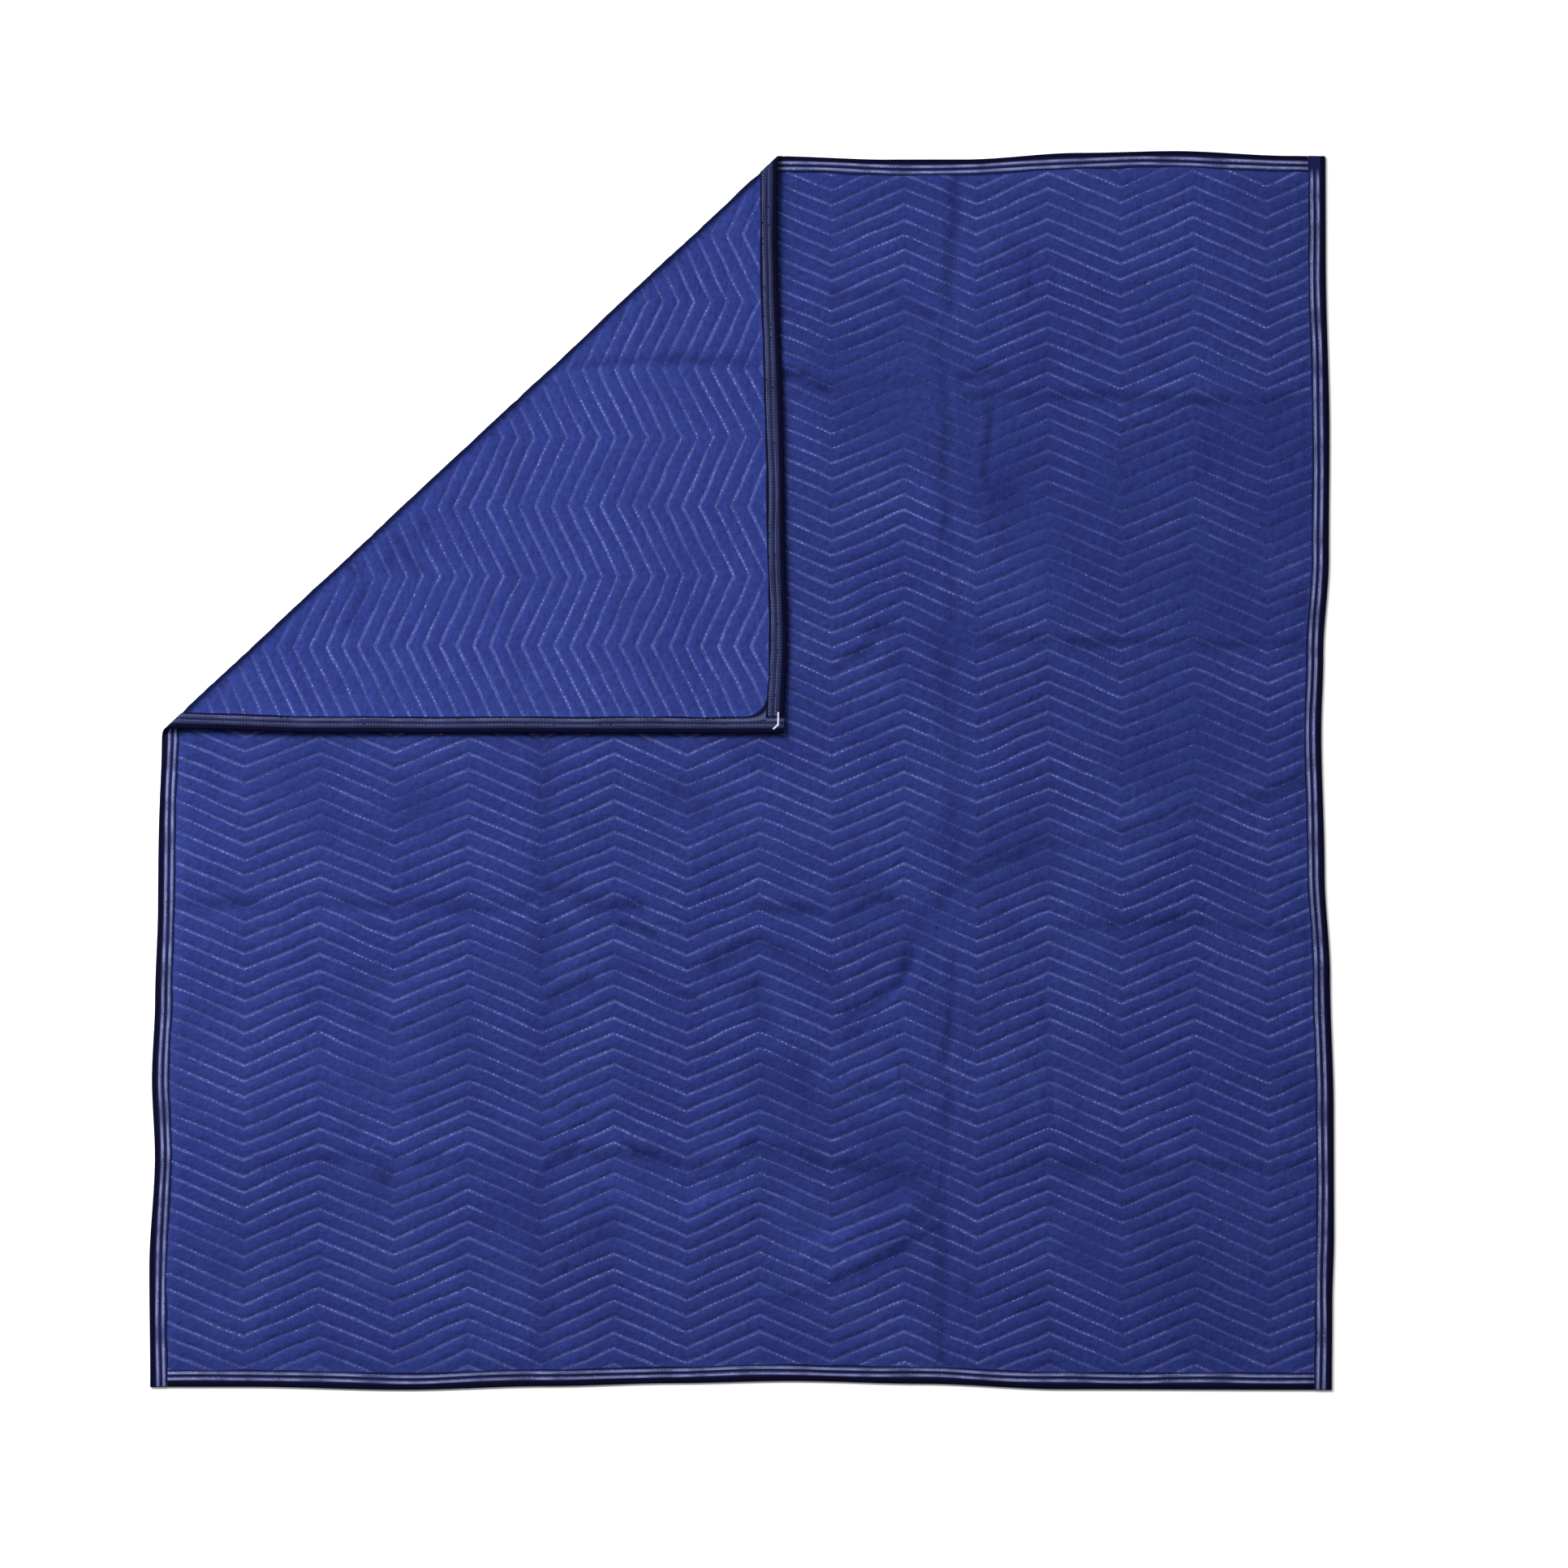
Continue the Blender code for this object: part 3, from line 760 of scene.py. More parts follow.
class NodeBench:
    """Lays out and joins the nodes of one tree."""

    def __init__(self, tree: NodeTree) -> None:
        """Takes the tree that the nodes go into."""
        self.tree = tree

    def node(self, kind: str, **settings: object) -> Node:
        """Adds a node.

        Args:
            kind: the node's kind.
            **settings: its settings.

        Returns:
            The node.
        """
        made = self.tree.nodes.new(kind)
        for name, value in settings.items():
            setattr(made, name, value)
        return made

    def feed(self, socket: NodeSocket, value: object) -> None:
        """Feeds an input.

        Args:
            socket: the input.
            value: an output to join to it, or its own value.
        """
        if isinstance(value, NodeSocket):
            self.tree.links.new(value, socket)
        else:
            socket.default_value = value

    def feed_all(self, node: Node, **values: object) -> Node:
        """Feeds several inputs of a node.

        Args:
            node: the node.
            **values: an output or a value for each input, with _ for a space in its name.

        Returns:
            The same node.
        """
        for name, value in values.items():
            self.feed(node.inputs[name.replace("_", " ")], value)
        return node

    def math(self, operation: str, *values: object) -> NodeSocket:
        """The result of a Math node.

        Args:
            operation: what it does.
            *values: sockets or numbers, in the node's own order.

        Returns:
            The result's socket.
        """
        made = self.node("ShaderNodeMath", operation=operation)
        for socket, value in zip(made.inputs, values):
            self.feed(socket, value)
        return made.outputs[0]

    def times(self, first: object, *others: object) -> NodeSocket:
        """The product of several values.

        Args:
            first: a socket or a number.
            *others: more of them.

        Returns:
            The product's socket.
        """
        for other in others:
            first = self.math("MULTIPLY", first, other)
        return first

    def less(self, share: object) -> NodeSocket:
        """What a share leaves of 1."""
        return self.math("SUBTRACT", 1.0, share)

    def scaled(self, vector: object, factor: object) -> NodeSocket:
        """A vector or a colour, times a number.

        Args:
            vector: the vector or colour.
            factor: the number.

        Returns:
            The product's socket.
        """
        made = self.node("ShaderNodeVectorMath", operation="SCALE")
        self.feed(made.inputs[0], vector)
        return self.feed_all(made, Scale=factor).outputs[0]

    def off_row(self, along: NodeSocket, rise: NodeSocket, pitch: object) -> NodeSocket:
        """How far places are from the nearest stitched row.

        Args:
            along: the places, along the even quilting.
            rise: how far the rows have risen above their valleys there.
            pitch: the rows' distance.

        Returns:
            A share of the pitch, up to a half.
        """
        row = self.math("DIVIDE", self.math("SUBTRACT", along, rise), pitch)
        return self.math("ABSOLUTE", self.math("SUBTRACT", self.math("FRACT", row), 0.5))


@dataclass(frozen=True)
class Grain:
    """A noise over the cloth, and what an eased span of it is worth."""

    repeats: Triple
    detail: float
    span: Pair = (0.2, 0.8)
    worth: Pair = (0.0, 1.0)


class ShaderBench(NodeBench):
    """Lays out the nodes of one material."""

    def __init__(self, name: str) -> None:
        """Starts a material with its Principled shader."""
        self.material = bpy.data.materials.new(name)
        self.material.use_nodes = True
        super().__init__(self.material.node_tree)
        self.shader = self.tree.nodes["Principled BSDF"]

    def wave(self, place: NodeSocket, length: float) -> NodeSocket:
        """A sine wave along a place."""
        return self.math("SINE", self.math("MULTIPLY", place, math.tau / length))

    def weave(self, across: NodeSocket, along: NodeSocket, length: float) -> NodeSocket:
        """The height of a plain weave, from 0 to 1."""
        crossing = self.times(self.wave(across, length), self.wave(along, length))
        return self.math("MULTIPLY_ADD", crossing, 0.5, 0.5)

    def ramp(
        self, value: object, low: float, high: float, at_low: float = 0, at_high: float = 1
    ) -> NodeSocket:
        """A value eased from at_low to at_high as another goes from low to high.

        Args:
            value: what the ramp reads.
            low: where it starts.
            high: where it ends.
            at_low: its result at the start.
            at_high: its result at the end.

        Returns:
            The result's socket.
        """
        made = self.node("ShaderNodeMapRange", interpolation_type="SMOOTHSTEP")
        self.feed_all(made, Value=value, From_Min=low, From_Max=high, To_Min=at_low, To_Max=at_high)
        return made.outputs["Result"]

    def attribute(self, name: str) -> NodeSocket:
        """A number that the piece's points hold."""
        return self.node("ShaderNodeAttribute", attribute_name=name).outputs["Fac"]

    def map(self, name: str) -> tuple[NodeSocket, ...]:
        """One of the piece's UV maps.

        Args:
            name: its name.

        Returns:
            The whole place, then its two parts.
        """
        whole = self.node("ShaderNodeUVMap", uv_map=name).outputs["UV"]
        parts = self.node("ShaderNodeSeparateXYZ")
        self.feed(parts.inputs[0], whole)
        return whole, parts.outputs[0], parts.outputs[1]

    def grain(self, place: NodeSocket, grain: Grain) -> tuple[NodeSocket, NodeSocket]:
        """A noise over a place.

        Args:
            place: the coordinates.
            grain: the noise's own sizes, its repeats to the metre.

        Returns:
            The noise, from 0 to 1, and what it is worth.
        """
        mapping = self.feed_all(self.node("ShaderNodeMapping"), Vector=place, Scale=grain.repeats)
        made = self.node("ShaderNodeTexNoise")
        self.feed_all(made, Vector=mapping.outputs["Vector"], Scale=1.0, Detail=grain.detail)
        noise = made.outputs["Fac"]
        return noise, self.ramp(noise, *grain.span, *grain.worth)

    def mix(self, share: object, first: object, second: object) -> NodeSocket:
        """A mix of two colours.

        Args:
            share: how much of the second is in it.
            first: a colour or its socket.
            second: another.

        Returns:
            The mixed colour's socket.
        """
        made = self.node("ShaderNodeMix", data_type="RGBA")
        for index, value in ((0, share), (6, first), (7, second)):
            self.feed(made.inputs[index], value)
        return made.outputs[2]

    def bump(self, height: object, distance: float, strength: float, below: object = None) -> NodeSocket:
        """A bump, on top of another if there is one.

        Args:
            height: the height's socket, from 0 to 1.
            distance: how high 1 is, in metres.
            strength: how much of the bump is used.
            below: the normal that it is added to.

        Returns:
            The bent normal's socket.
        """
        made = self.node("ShaderNodeBump")
        self.feed_all(made, Height=height, Distance=distance, Strength=strength)
        if below is not None:
            self.feed(made.inputs["Normal"], below)
        return made.outputs["Normal"]

    def finish(self, **inputs: object) -> Material:
        """Feeds the shader.

        Args:
            **inputs: a socket or a value for each input, with _ for a space in its name.

        Returns:
            The material.
        """
        self.feed_all(self.shader, **inputs)
        return self.material


@dataclass(frozen=True)
class ClothFinish:
    """Woven cover cloth, drawn in along the quilting rows, with thread showing on each row, painted shade
    in the groove beside each row, and the wear's painted shade and light.
    """

    name: str
    colour: Triple
    worn_colour: Triple
    thread_colour: Triple
    quilting: Quilting
    drawn_thread: float = 0.33
    thread_reach: Pair = (0.0010, 0.0044)
    # Painted shade in the groove beside each stitched row, and the distances from the row over which it
    # fades
    row_shade: float = 0.13
    shade_reach: Pair = (0.0015, 0.0065)
    weave: float = 0.0013
    weave_bump: Pair = (0.00025, 0.5)
    patches: Grain = Grain((5, 5, 5), 3, (0.35, 0.7))
    clouds: Grain = Grain((26, 34, 26), 2, (0.3, 0.7), (0.96, 1.04))
    mottle: Grain = Grain((95, 130, 95), 3, (0.3, 0.7), (0.86, 1.14))
    mottle_bump: Pair = (0.0020, 0.7)
    slubs: Grain = Grain((900, 320, 900), 2, worth=(0.9, 1.1))
    thin_thread: Grain = Grain((11, 11, 11), 2, (0.35, 0.6), (0.45, 1.0))
    dashes: Grain = Grain((170, 170, 170), 1, (0.35, 0.6), (0.5, 1.0))
    pucker: Grain = Grain((90, 70, 90), 2)
    pucker_bump: Pair = (0.0035, 0.65)
    roughness: Pair = (0.85, 0.95)
    fuzz: float = 0.04
    fuzz_tint: Triple = (0.25, 0.35, 1.0)
    gloss: float = 0.08

    def to_row(self, bench: ShaderBench) -> NodeSocket:
        """The distance from the nearest stitched row.

        Args:
            bench: where the material is laid out.

        Returns:
            Its socket, in metres.
        """
        quilting = self.quilting
        _, across, along = bench.map("quilting")
        share = bench.math("SUBTRACT", across, quilting.first_valley)
        share = bench.math("FRACT", bench.math("DIVIDE", share, quilting.zigzag_period))
        fall = bench.math("ABSOLUTE", bench.math("MULTIPLY_ADD", share, -2.0, 1.0))
        rise = bench.math("MULTIPLY_ADD", fall, -quilting.zigzag_rise, quilting.zigzag_rise)
        return bench.times(bench.off_row(along, rise, quilting.row_pitch), quilting.row_pitch)

    def material(self) -> Material:
        """Lays out the cloth's material.

        Returns:
            The material.
        """
        bench = ShaderBench(self.name)
        cut, across, along = bench.map("cut")
        to_row = self.to_row(bench)
        shown = bench.less(bench.attribute("fade"))
        # The wear's painted shade, with painted light where the shade is below 0
        kept = bench.less(bench.attribute("shade"))

        mottle, mottled = bench.grain(cut, self.mottle)
        base = bench.mix(bench.grain(cut, self.patches)[1], self.colour + (1,), self.worn_colour + (1,))
        row_groove_shade = bench.times(bench.ramp(to_row, *self.shade_reach, self.row_shade, 0.0), shown)
        tone_and_painted_shade = bench.times(
            mottled,
            bench.grain(cut, self.slubs)[1],
            bench.grain(cut, self.clouds)[1],
            bench.less(row_groove_shade),
            kept,
        )
        base = bench.scaled(base, tone_and_painted_shade)
        # The drawn thread is darkened by the painted shade too
        thread = bench.times(
            bench.ramp(to_row, *self.thread_reach, 1.0, 0.0),
            bench.grain(cut, self.thin_thread)[1],
            bench.grain(cut, self.dashes)[1],
            self.drawn_thread,
            shown,
            bench.math("MINIMUM", kept, 1.0),
        )
        base = bench.mix(thread, base, self.thread_colour + (1,))

        normal = bench.bump(bench.grain(cut, self.pucker)[0], *self.pucker_bump)
        normal = bench.bump(mottle, *self.mottle_bump, normal)
        normal = bench.bump(bench.weave(across, along, self.weave), *self.weave_bump, normal)
        # Sheen and gloss are turned down where shade is painted
        return bench.finish(
            Base_Color=base,
            Roughness=bench.ramp(mottle, 0.2, 0.8, *self.roughness),
            Normal=normal,
            Sheen_Weight=bench.times(kept, self.fuzz),
            Sheen_Roughness=0.5,
            Sheen_Tint=self.fuzz_tint + (1,),
            Specular_IOR_Level=bench.times(kept, self.gloss),
        )


@dataclass(frozen=True)
class TapeFinish:
    """Ribbed woven tape, duller on its back, with painted shade where it wraps round the edge and a
    painted shadow along the back's inner lip.
    """

    name: str
    colour: Triple
    back_colour: Triple
    edge_colour: Triple
    thread_colour: Triple
    sewn_at: Pair
    lip_at: float
    rib: float = 0.0016
    rib_bump: Pair = (0.0003, 0.6)
    cross_rib: float = 0.0052
    cross_rib_tone: float = 0.22
    edge_reach: Pair = (0.0075, 0.0112)
    lip_reach: float = 0.0050
    lip_tone: float = 0.15
    middle: Pair = (-0.002, 0.002)
    drawn_thread: float = 0.85
    thread_reach: Pair = (0.0009, 0.0031)
    back_thread: Pair = (0.10, 0.32)
    patches: Grain = Grain((40, 14, 40), 3, (0.25, 0.75), (0.75, 1.3))
    patch_bump: Pair = (0.0012, 0.5)
    fibres: Grain = Grain((1400, 260, 900), 2, worth=(0.8, 1.2))
    thin_thread: Grain = Grain((9, 22, 9), 2, (0.3, 0.65), (0.3, 1.0))
    roughness: Pair = (0.75, 0.88)
    fuzz: float = 0.015
    fuzz_tint: Triple = (0.3, 0.35, 0.9)
    gloss: float = 0.04

    def material(self) -> Material:
        """Lays out the tape's material. Its map runs in from the blanket's edge and along the tape.

        Returns:
            The material.
        """
        bench = ShaderBench(self.name)
        cut, around, along = bench.map("cut")
        in_from_edge = bench.math("ABSOLUTE", around)
        above = bench.ramp(around, *self.middle)
        patches, patchy = bench.grain(cut, self.patches)
        # Painted shade on the rounded outer edge and a painted shadow along the back's inner lip, both
        # mixed towards the edge shade colour
        edge = bench.ramp(in_from_edge, *self.edge_reach)
        lip = bench.ramp(around, -self.lip_at, self.lip_reach - self.lip_at, self.lip_tone, 1.0)
        base = bench.mix(above, self.back_colour + (1,), self.colour + (1,))
        base = bench.mix(bench.times(edge, lip), self.edge_colour + (1,), base)
        ridges = bench.times(bench.wave(along, self.cross_rib), bench.less(above))
        ridged = bench.math("MULTIPLY_ADD", ridges, self.cross_rib_tone, 1.0)
        base = bench.scaled(base, bench.times(patchy, bench.grain(cut, self.fibres)[1], ridged))
        worn = bench.times(bench.grain(cut, self.thin_thread)[1], bench.attribute("seam"))
        swayed = bench.attribute("sway")
        for at, back_share in zip(self.sewn_at, self.back_thread):
            off = bench.math("SUBTRACT", bench.math("SUBTRACT", in_from_edge, at), swayed)
            off = bench.math("ABSOLUTE", off)
            line = bench.ramp(off, *self.thread_reach, self.drawn_thread, 0.0)
            share = bench.ramp(around, *self.middle, back_share, 1.0)
            base = bench.mix(bench.times(line, share, worn), base, self.thread_colour + (1,))
        normal = bench.bump(patches, *self.patch_bump)
        normal = bench.bump(bench.weave(around, along, self.rib), *self.rib_bump, normal)
        return bench.finish(
            Base_Color=base,
            Roughness=bench.ramp(patches, 0.2, 0.8, *self.roughness),
            Normal=normal,
            Sheen_Weight=self.fuzz,
            Sheen_Roughness=0.45,
            Sheen_Tint=self.fuzz_tint + (1,),
            Specular_IOR_Level=self.gloss,
        )


@dataclass(frozen=True)
class ThreadFinish:
    """Sewing thread whose stitches go from a dull colour to a bright one, one by one: painted highlights
    for the light that each stitch catches.
    """

    name: str
    dull_colour: Triple
    bright_colour: Triple
    brightening: float = 1.6
    fibres: Grain = Grain((2600, 2600, 2600), 2, worth=(0.85, 1.15))
    fibre_bump: Pair = (0.0003, 0.5)
    roughness: Pair = (0.6, 0.75)
    gloss: float = 0.15

    def material(self) -> Material:
        """Lays out the thread's material.

        Returns:
            The material.
        """
        bench = ShaderBench(self.name)
        place = bench.node("ShaderNodeTexCoord").outputs["Object"]
        fibres, fibred = bench.grain(place, self.fibres)
        share = bench.math("POWER", bench.attribute("strand"), self.brightening)
        base = bench.mix(share, self.dull_colour + (1,), self.bright_colour + (1,))
        return bench.finish(
            Base_Color=bench.scaled(base, fibred),
            Roughness=bench.ramp(fibres, 0.2, 0.8, *self.roughness),
            Normal=bench.bump(fibres, *self.fibre_bump),
            Specular_IOR_Level=self.gloss,
        )


class GeometryBench(NodeBench):
    """Lays out the nodes of one geometry tree, and runs it on a mesh."""

    def __init__(self, name: str) -> None:
        """Starts a tree that takes and gives a geometry."""
        super().__init__(bpy.data.node_groups.new(name, "GeometryNodeTree"))
        for way in ("INPUT", "OUTPUT"):
            self.tree.interface.new_socket("Geometry", in_out=way, socket_type="NodeSocketGeometry")
        self.ends: dict[str, NodeSocket] = {}
        self.identifiers: dict[str, str] = {}

    def add_inputs(self, **kinds: str) -> None:
        """Adds the tree's inputs.

        Args:
            **kinds: each input's kind, under its name with _ for a space.
        """
        for name, kind in kinds.items():
            made = self.tree.interface.new_socket(
                name.replace("_", " "), in_out="INPUT", socket_type=f"NodeSocket{kind}"
            )
            self.identifiers[name] = made.identifier
        outputs = self.node("NodeGroupInput").outputs
        self.ends = {"Geometry": outputs["Geometry"]}
        self.ends |= {name: outputs[name.replace("_", " ")] for name in kinds}

    def stored(self, name: str, kind: str = "FLOAT") -> NodeSocket:
        """An attribute that the mesh has.

        Args:
            name: its name.
            kind: its kind of value.

        Returns:
            Its socket.
        """
        made = self.node("GeometryNodeInputNamedAttribute", data_type=kind)
        made.inputs["Name"].default_value = name
        return made.outputs["Attribute"]

    def join(self, kind: str, geometry: NodeSocket, **values: object) -> Node:
        """Adds a node that works on a geometry.

        Args:
            kind: the node's kind.
            geometry: its first input.
            **values: a socket or a value for others, with _ for a space in a name.

        Returns:
            The node.
        """
        made = self.node(kind)
        self.feed(made.inputs[0], geometry)
        return self.feed_all(made, **values)

    def close(self, geometry: NodeSocket) -> None:
        """Ends the tree with its instances made real and its material set.

        Args:
            geometry: what the tree has made.
        """
        real = self.join("GeometryNodeRealizeInstances", geometry)
        dressed = self.join("GeometryNodeSetMaterial", real.outputs[0], Material=self.ends["Material"])
        self.feed(self.node("NodeGroupOutput").inputs[0], dressed.outputs[0])

    def run(self, mesh: Mesh, name: str, **values: object) -> Object:
        """Runs the tree on a mesh and keeps its result as a plain mesh.

        Args:
            mesh: what the tree works on.
            name: the finished piece's name.
            **values: the tree's inputs.

        Returns:
            The finished piece, at the origin.
        """
        start = show(name + "_start", mesh)
        modifier = start.modifiers.new("rule", "NODES")
        modifier.node_group = self.tree
        for input_name, value in values.items():
            modifier[self.identifiers[input_name]] = value
        graph = bpy.context.evaluated_depsgraph_get()
        result = bpy.data.meshes.new_from_object(
            start.evaluated_get(graph), preserve_all_data_layers=True, depsgraph=graph
        )
        start.modifiers.remove(modifier)
        bpy.data.objects.remove(start, do_unlink=True)
        bpy.data.meshes.remove(mesh)
        result.name = name
        return show(name, result)


class QuiltLoft(GeometryBench):
    """The rule that raises the puffs between the zigzag rows of a flat sheet."""

    def __init__(self) -> None:
        """Lays out the tree."""
        super().__init__("quilt_loft")
        sizes = ("Row_Pitch", "Zigzag_Period", "Zigzag_Rise", "First_Valley", "Turn_Sharpness")
        sizes += ("Puff_Height", "Puff_Power")
        self.add_inputs(**dict.fromkeys(sizes, "Float"), Material="Material")
        ends = self.ends
        parts = self.join("ShaderNodeSeparateXYZ", self.stored("quilting", "FLOAT_VECTOR"))
        across, along = parts.outputs[0], parts.outputs[1]
        share = self.math("SUBTRACT", across, ends["First_Valley"])
        share = self.math("DIVIDE", share, ends["Zigzag_Period"])
        angle = self.math("MULTIPLY_ADD", share, math.tau, -math.pi / 2)
        wave = self.times(self.math("SINE", angle), ends["Turn_Sharpness"])
        full = self.math("ARCSINE", ends["Turn_Sharpness"])
        wave = self.math("DIVIDE", self.math("ARCSINE", wave), full)
        rise = self.times(ends["Zigzag_Rise"], self.math("MULTIPLY_ADD", wave, 0.5, 0.5))
        off = self.off_row(along, rise, ends["Row_Pitch"])
        low = self.math("MULTIPLY_ADD", off, -2.0, 1.0)
        arch = self.less(self.math("POWER", low, ends["Puff_Power"]))
        height = self.times(ends["Puff_Height"], self.stored("loft"), arch)
        offset = self.scaled(self.stored("rise", "FLOAT_VECTOR"), height)
        moved = self.join("GeometryNodeSetPosition", ends["Geometry"], Offset=offset)
        self.close(moved.outputs[0])


@dataclass
class StitchLines:
    """Lines that stitches run along, and how much of each place is sewn."""

    points: Array
    sewn: Array
    bright: Array
    joined: Array

    def mesh(self, name: str) -> Mesh:
        """The lines as a mesh of edges, with the places that no line uses left out.

        Args:
            name: the name of the piece that it is for.

        Returns:
            The mesh.
        """
        used, index = np.unique(self.joined, return_inverse=True)
        made = bpy.data.meshes.new(name + "_lines")
        made.from_pydata(self.points[used].tolist(), index.reshape(-1, 2).tolist(), [])
        note_points(made, sewn=self.sewn[used], bright=self.bright[used])
        return made


@dataclass(frozen=True)
class Thread:
    """The sizes of a run of stitches."""

    pitch: float
    length: float
    width: float
    height: float
    tilt: float = 0.12


class StitchRun(GeometryBench):
    """The rule that lays stitches along the lines of a mesh of edges.

    A stitch is a low bead. Its length and width each vary by a share.
    """

    segments: int = 4
    rings: int = 3
    lengths: Pair = (0.78, 1.06)
    widths: Pair = (0.8, 1.15)

    def __init__(self) -> None:
        """Lays out the tree."""
        super().__init__("stitch_run")
        sizes = ("Pitch", "Length", "Width", "Height", "Tilt")
        self.add_inputs(**dict.fromkeys(sizes, "Float"), Seed="Int", Material="Material")
        ends = self.ends
        curve = self.join("GeometryNodeMeshToCurve", ends["Geometry"])
        spaced = self.node("GeometryNodeResampleCurve", mode="LENGTH")
        self.feed_all(spaced, Curve=curve.outputs[0], Length=ends["Pitch"])
        along = self.node("FunctionNodeAlignRotationToVector", axis="X")
        self.feed_all(along, Vector=self.node("GeometryNodeInputTangent").outputs[0])

        bead = self.node("GeometryNodeMeshUVSphere")
        self.feed_all(bead, Segments=self.segments, Rings=self.rings, Radius=0.5)
        scale = self.node("ShaderNodeCombineXYZ")
        self.feed_all(scale, X=ends["Height"], Y=ends["Width"], Z=ends["Length"])
        stitch = self.join(
            "GeometryNodeTransform",
            bead.outputs["Mesh"],
            Scale=scale.outputs[0],
            Rotation=(0, math.pi / 2, 0),
        )
        sewn = self.node("FunctionNodeCompare", data_type="FLOAT", operation="LESS_THAN")
        self.feed_all(sewn, A=self.random(1, 0.0, 1.0), B=self.stored("sewn"))
        placed = self.join(
            "GeometryNodeInstanceOnPoints",
            spaced.outputs[0],
            Selection=sewn.outputs["Result"],
            Instance=stitch.outputs[0],
            Rotation=along.outputs[0],
        )
        turn = self.node("ShaderNodeCombineXYZ")
        self.feed_all(turn, Z=self.times(self.random(2, -1.0, 1.0), ends["Tilt"]))
        tilted = self.join("GeometryNodeRotateInstances", placed.outputs[0], Rotation=turn.outputs[0])
        stretch = self.node("ShaderNodeCombineXYZ")
        self.feed_all(stretch, X=self.random(3, *self.lengths), Y=self.random(4, *self.widths), Z=1.0)
        sized = self.join("GeometryNodeScaleInstances", tilted.outputs[0], Scale=stretch.outputs[0])
        # Each stitch's share of its thread's bright colour, a painted highlight
        named = self.node("GeometryNodeStoreNamedAttribute", data_type="FLOAT", domain="INSTANCE")
        bright = self.times(self.random(5, 0.0, 1.0), self.stored("bright"))
        self.feed_all(named, Geometry=sized.outputs[0], Name="strand", Value=bright)
        rounded = self.join("GeometryNodeSetShadeSmooth", named.outputs[0])
        self.close(rounded.outputs[0])

    def random(self, draw: int, low: float, high: float) -> NodeSocket:
        """A random number for each stitch, from the tree's seed.

        Args:
            draw: which of the stitch's numbers it is.
            low: the lowest it can be.
            high: the highest.

        Returns:
            Its socket.
        """
        made = self.node("FunctionNodeRandomValue", data_type="FLOAT")
        made.inputs[2].default_value = low
        made.inputs[3].default_value = high
        self.feed(made.inputs["Seed"], self.math("ADD", self.ends["Seed"], float(draw)))
        return made.outputs[1]

    def sew(self, name: str, lines: StitchLines, thread: Thread, material: Material, seed: int) -> Object:
        """Sews a set of lines.

        Args:
            name: the piece's name.
            lines: where the stitches run.
            thread: the stitches' sizes.
            material: the thread's material.
            seed: the seed of the stitches' unevenness.

        Returns:
            The stitches as one piece.
        """
        sizes = {size.title(): value for size, value in asdict(thread).items()}
        return self.run(lines.mesh(name), name, **sizes, Seed=seed, Material=material)


@dataclass
class FlatSheet:
    """A sheet's flat mesh: laid places and the corners of its faces."""

    x: Array
    y: Array
    faces: list[list[int]]


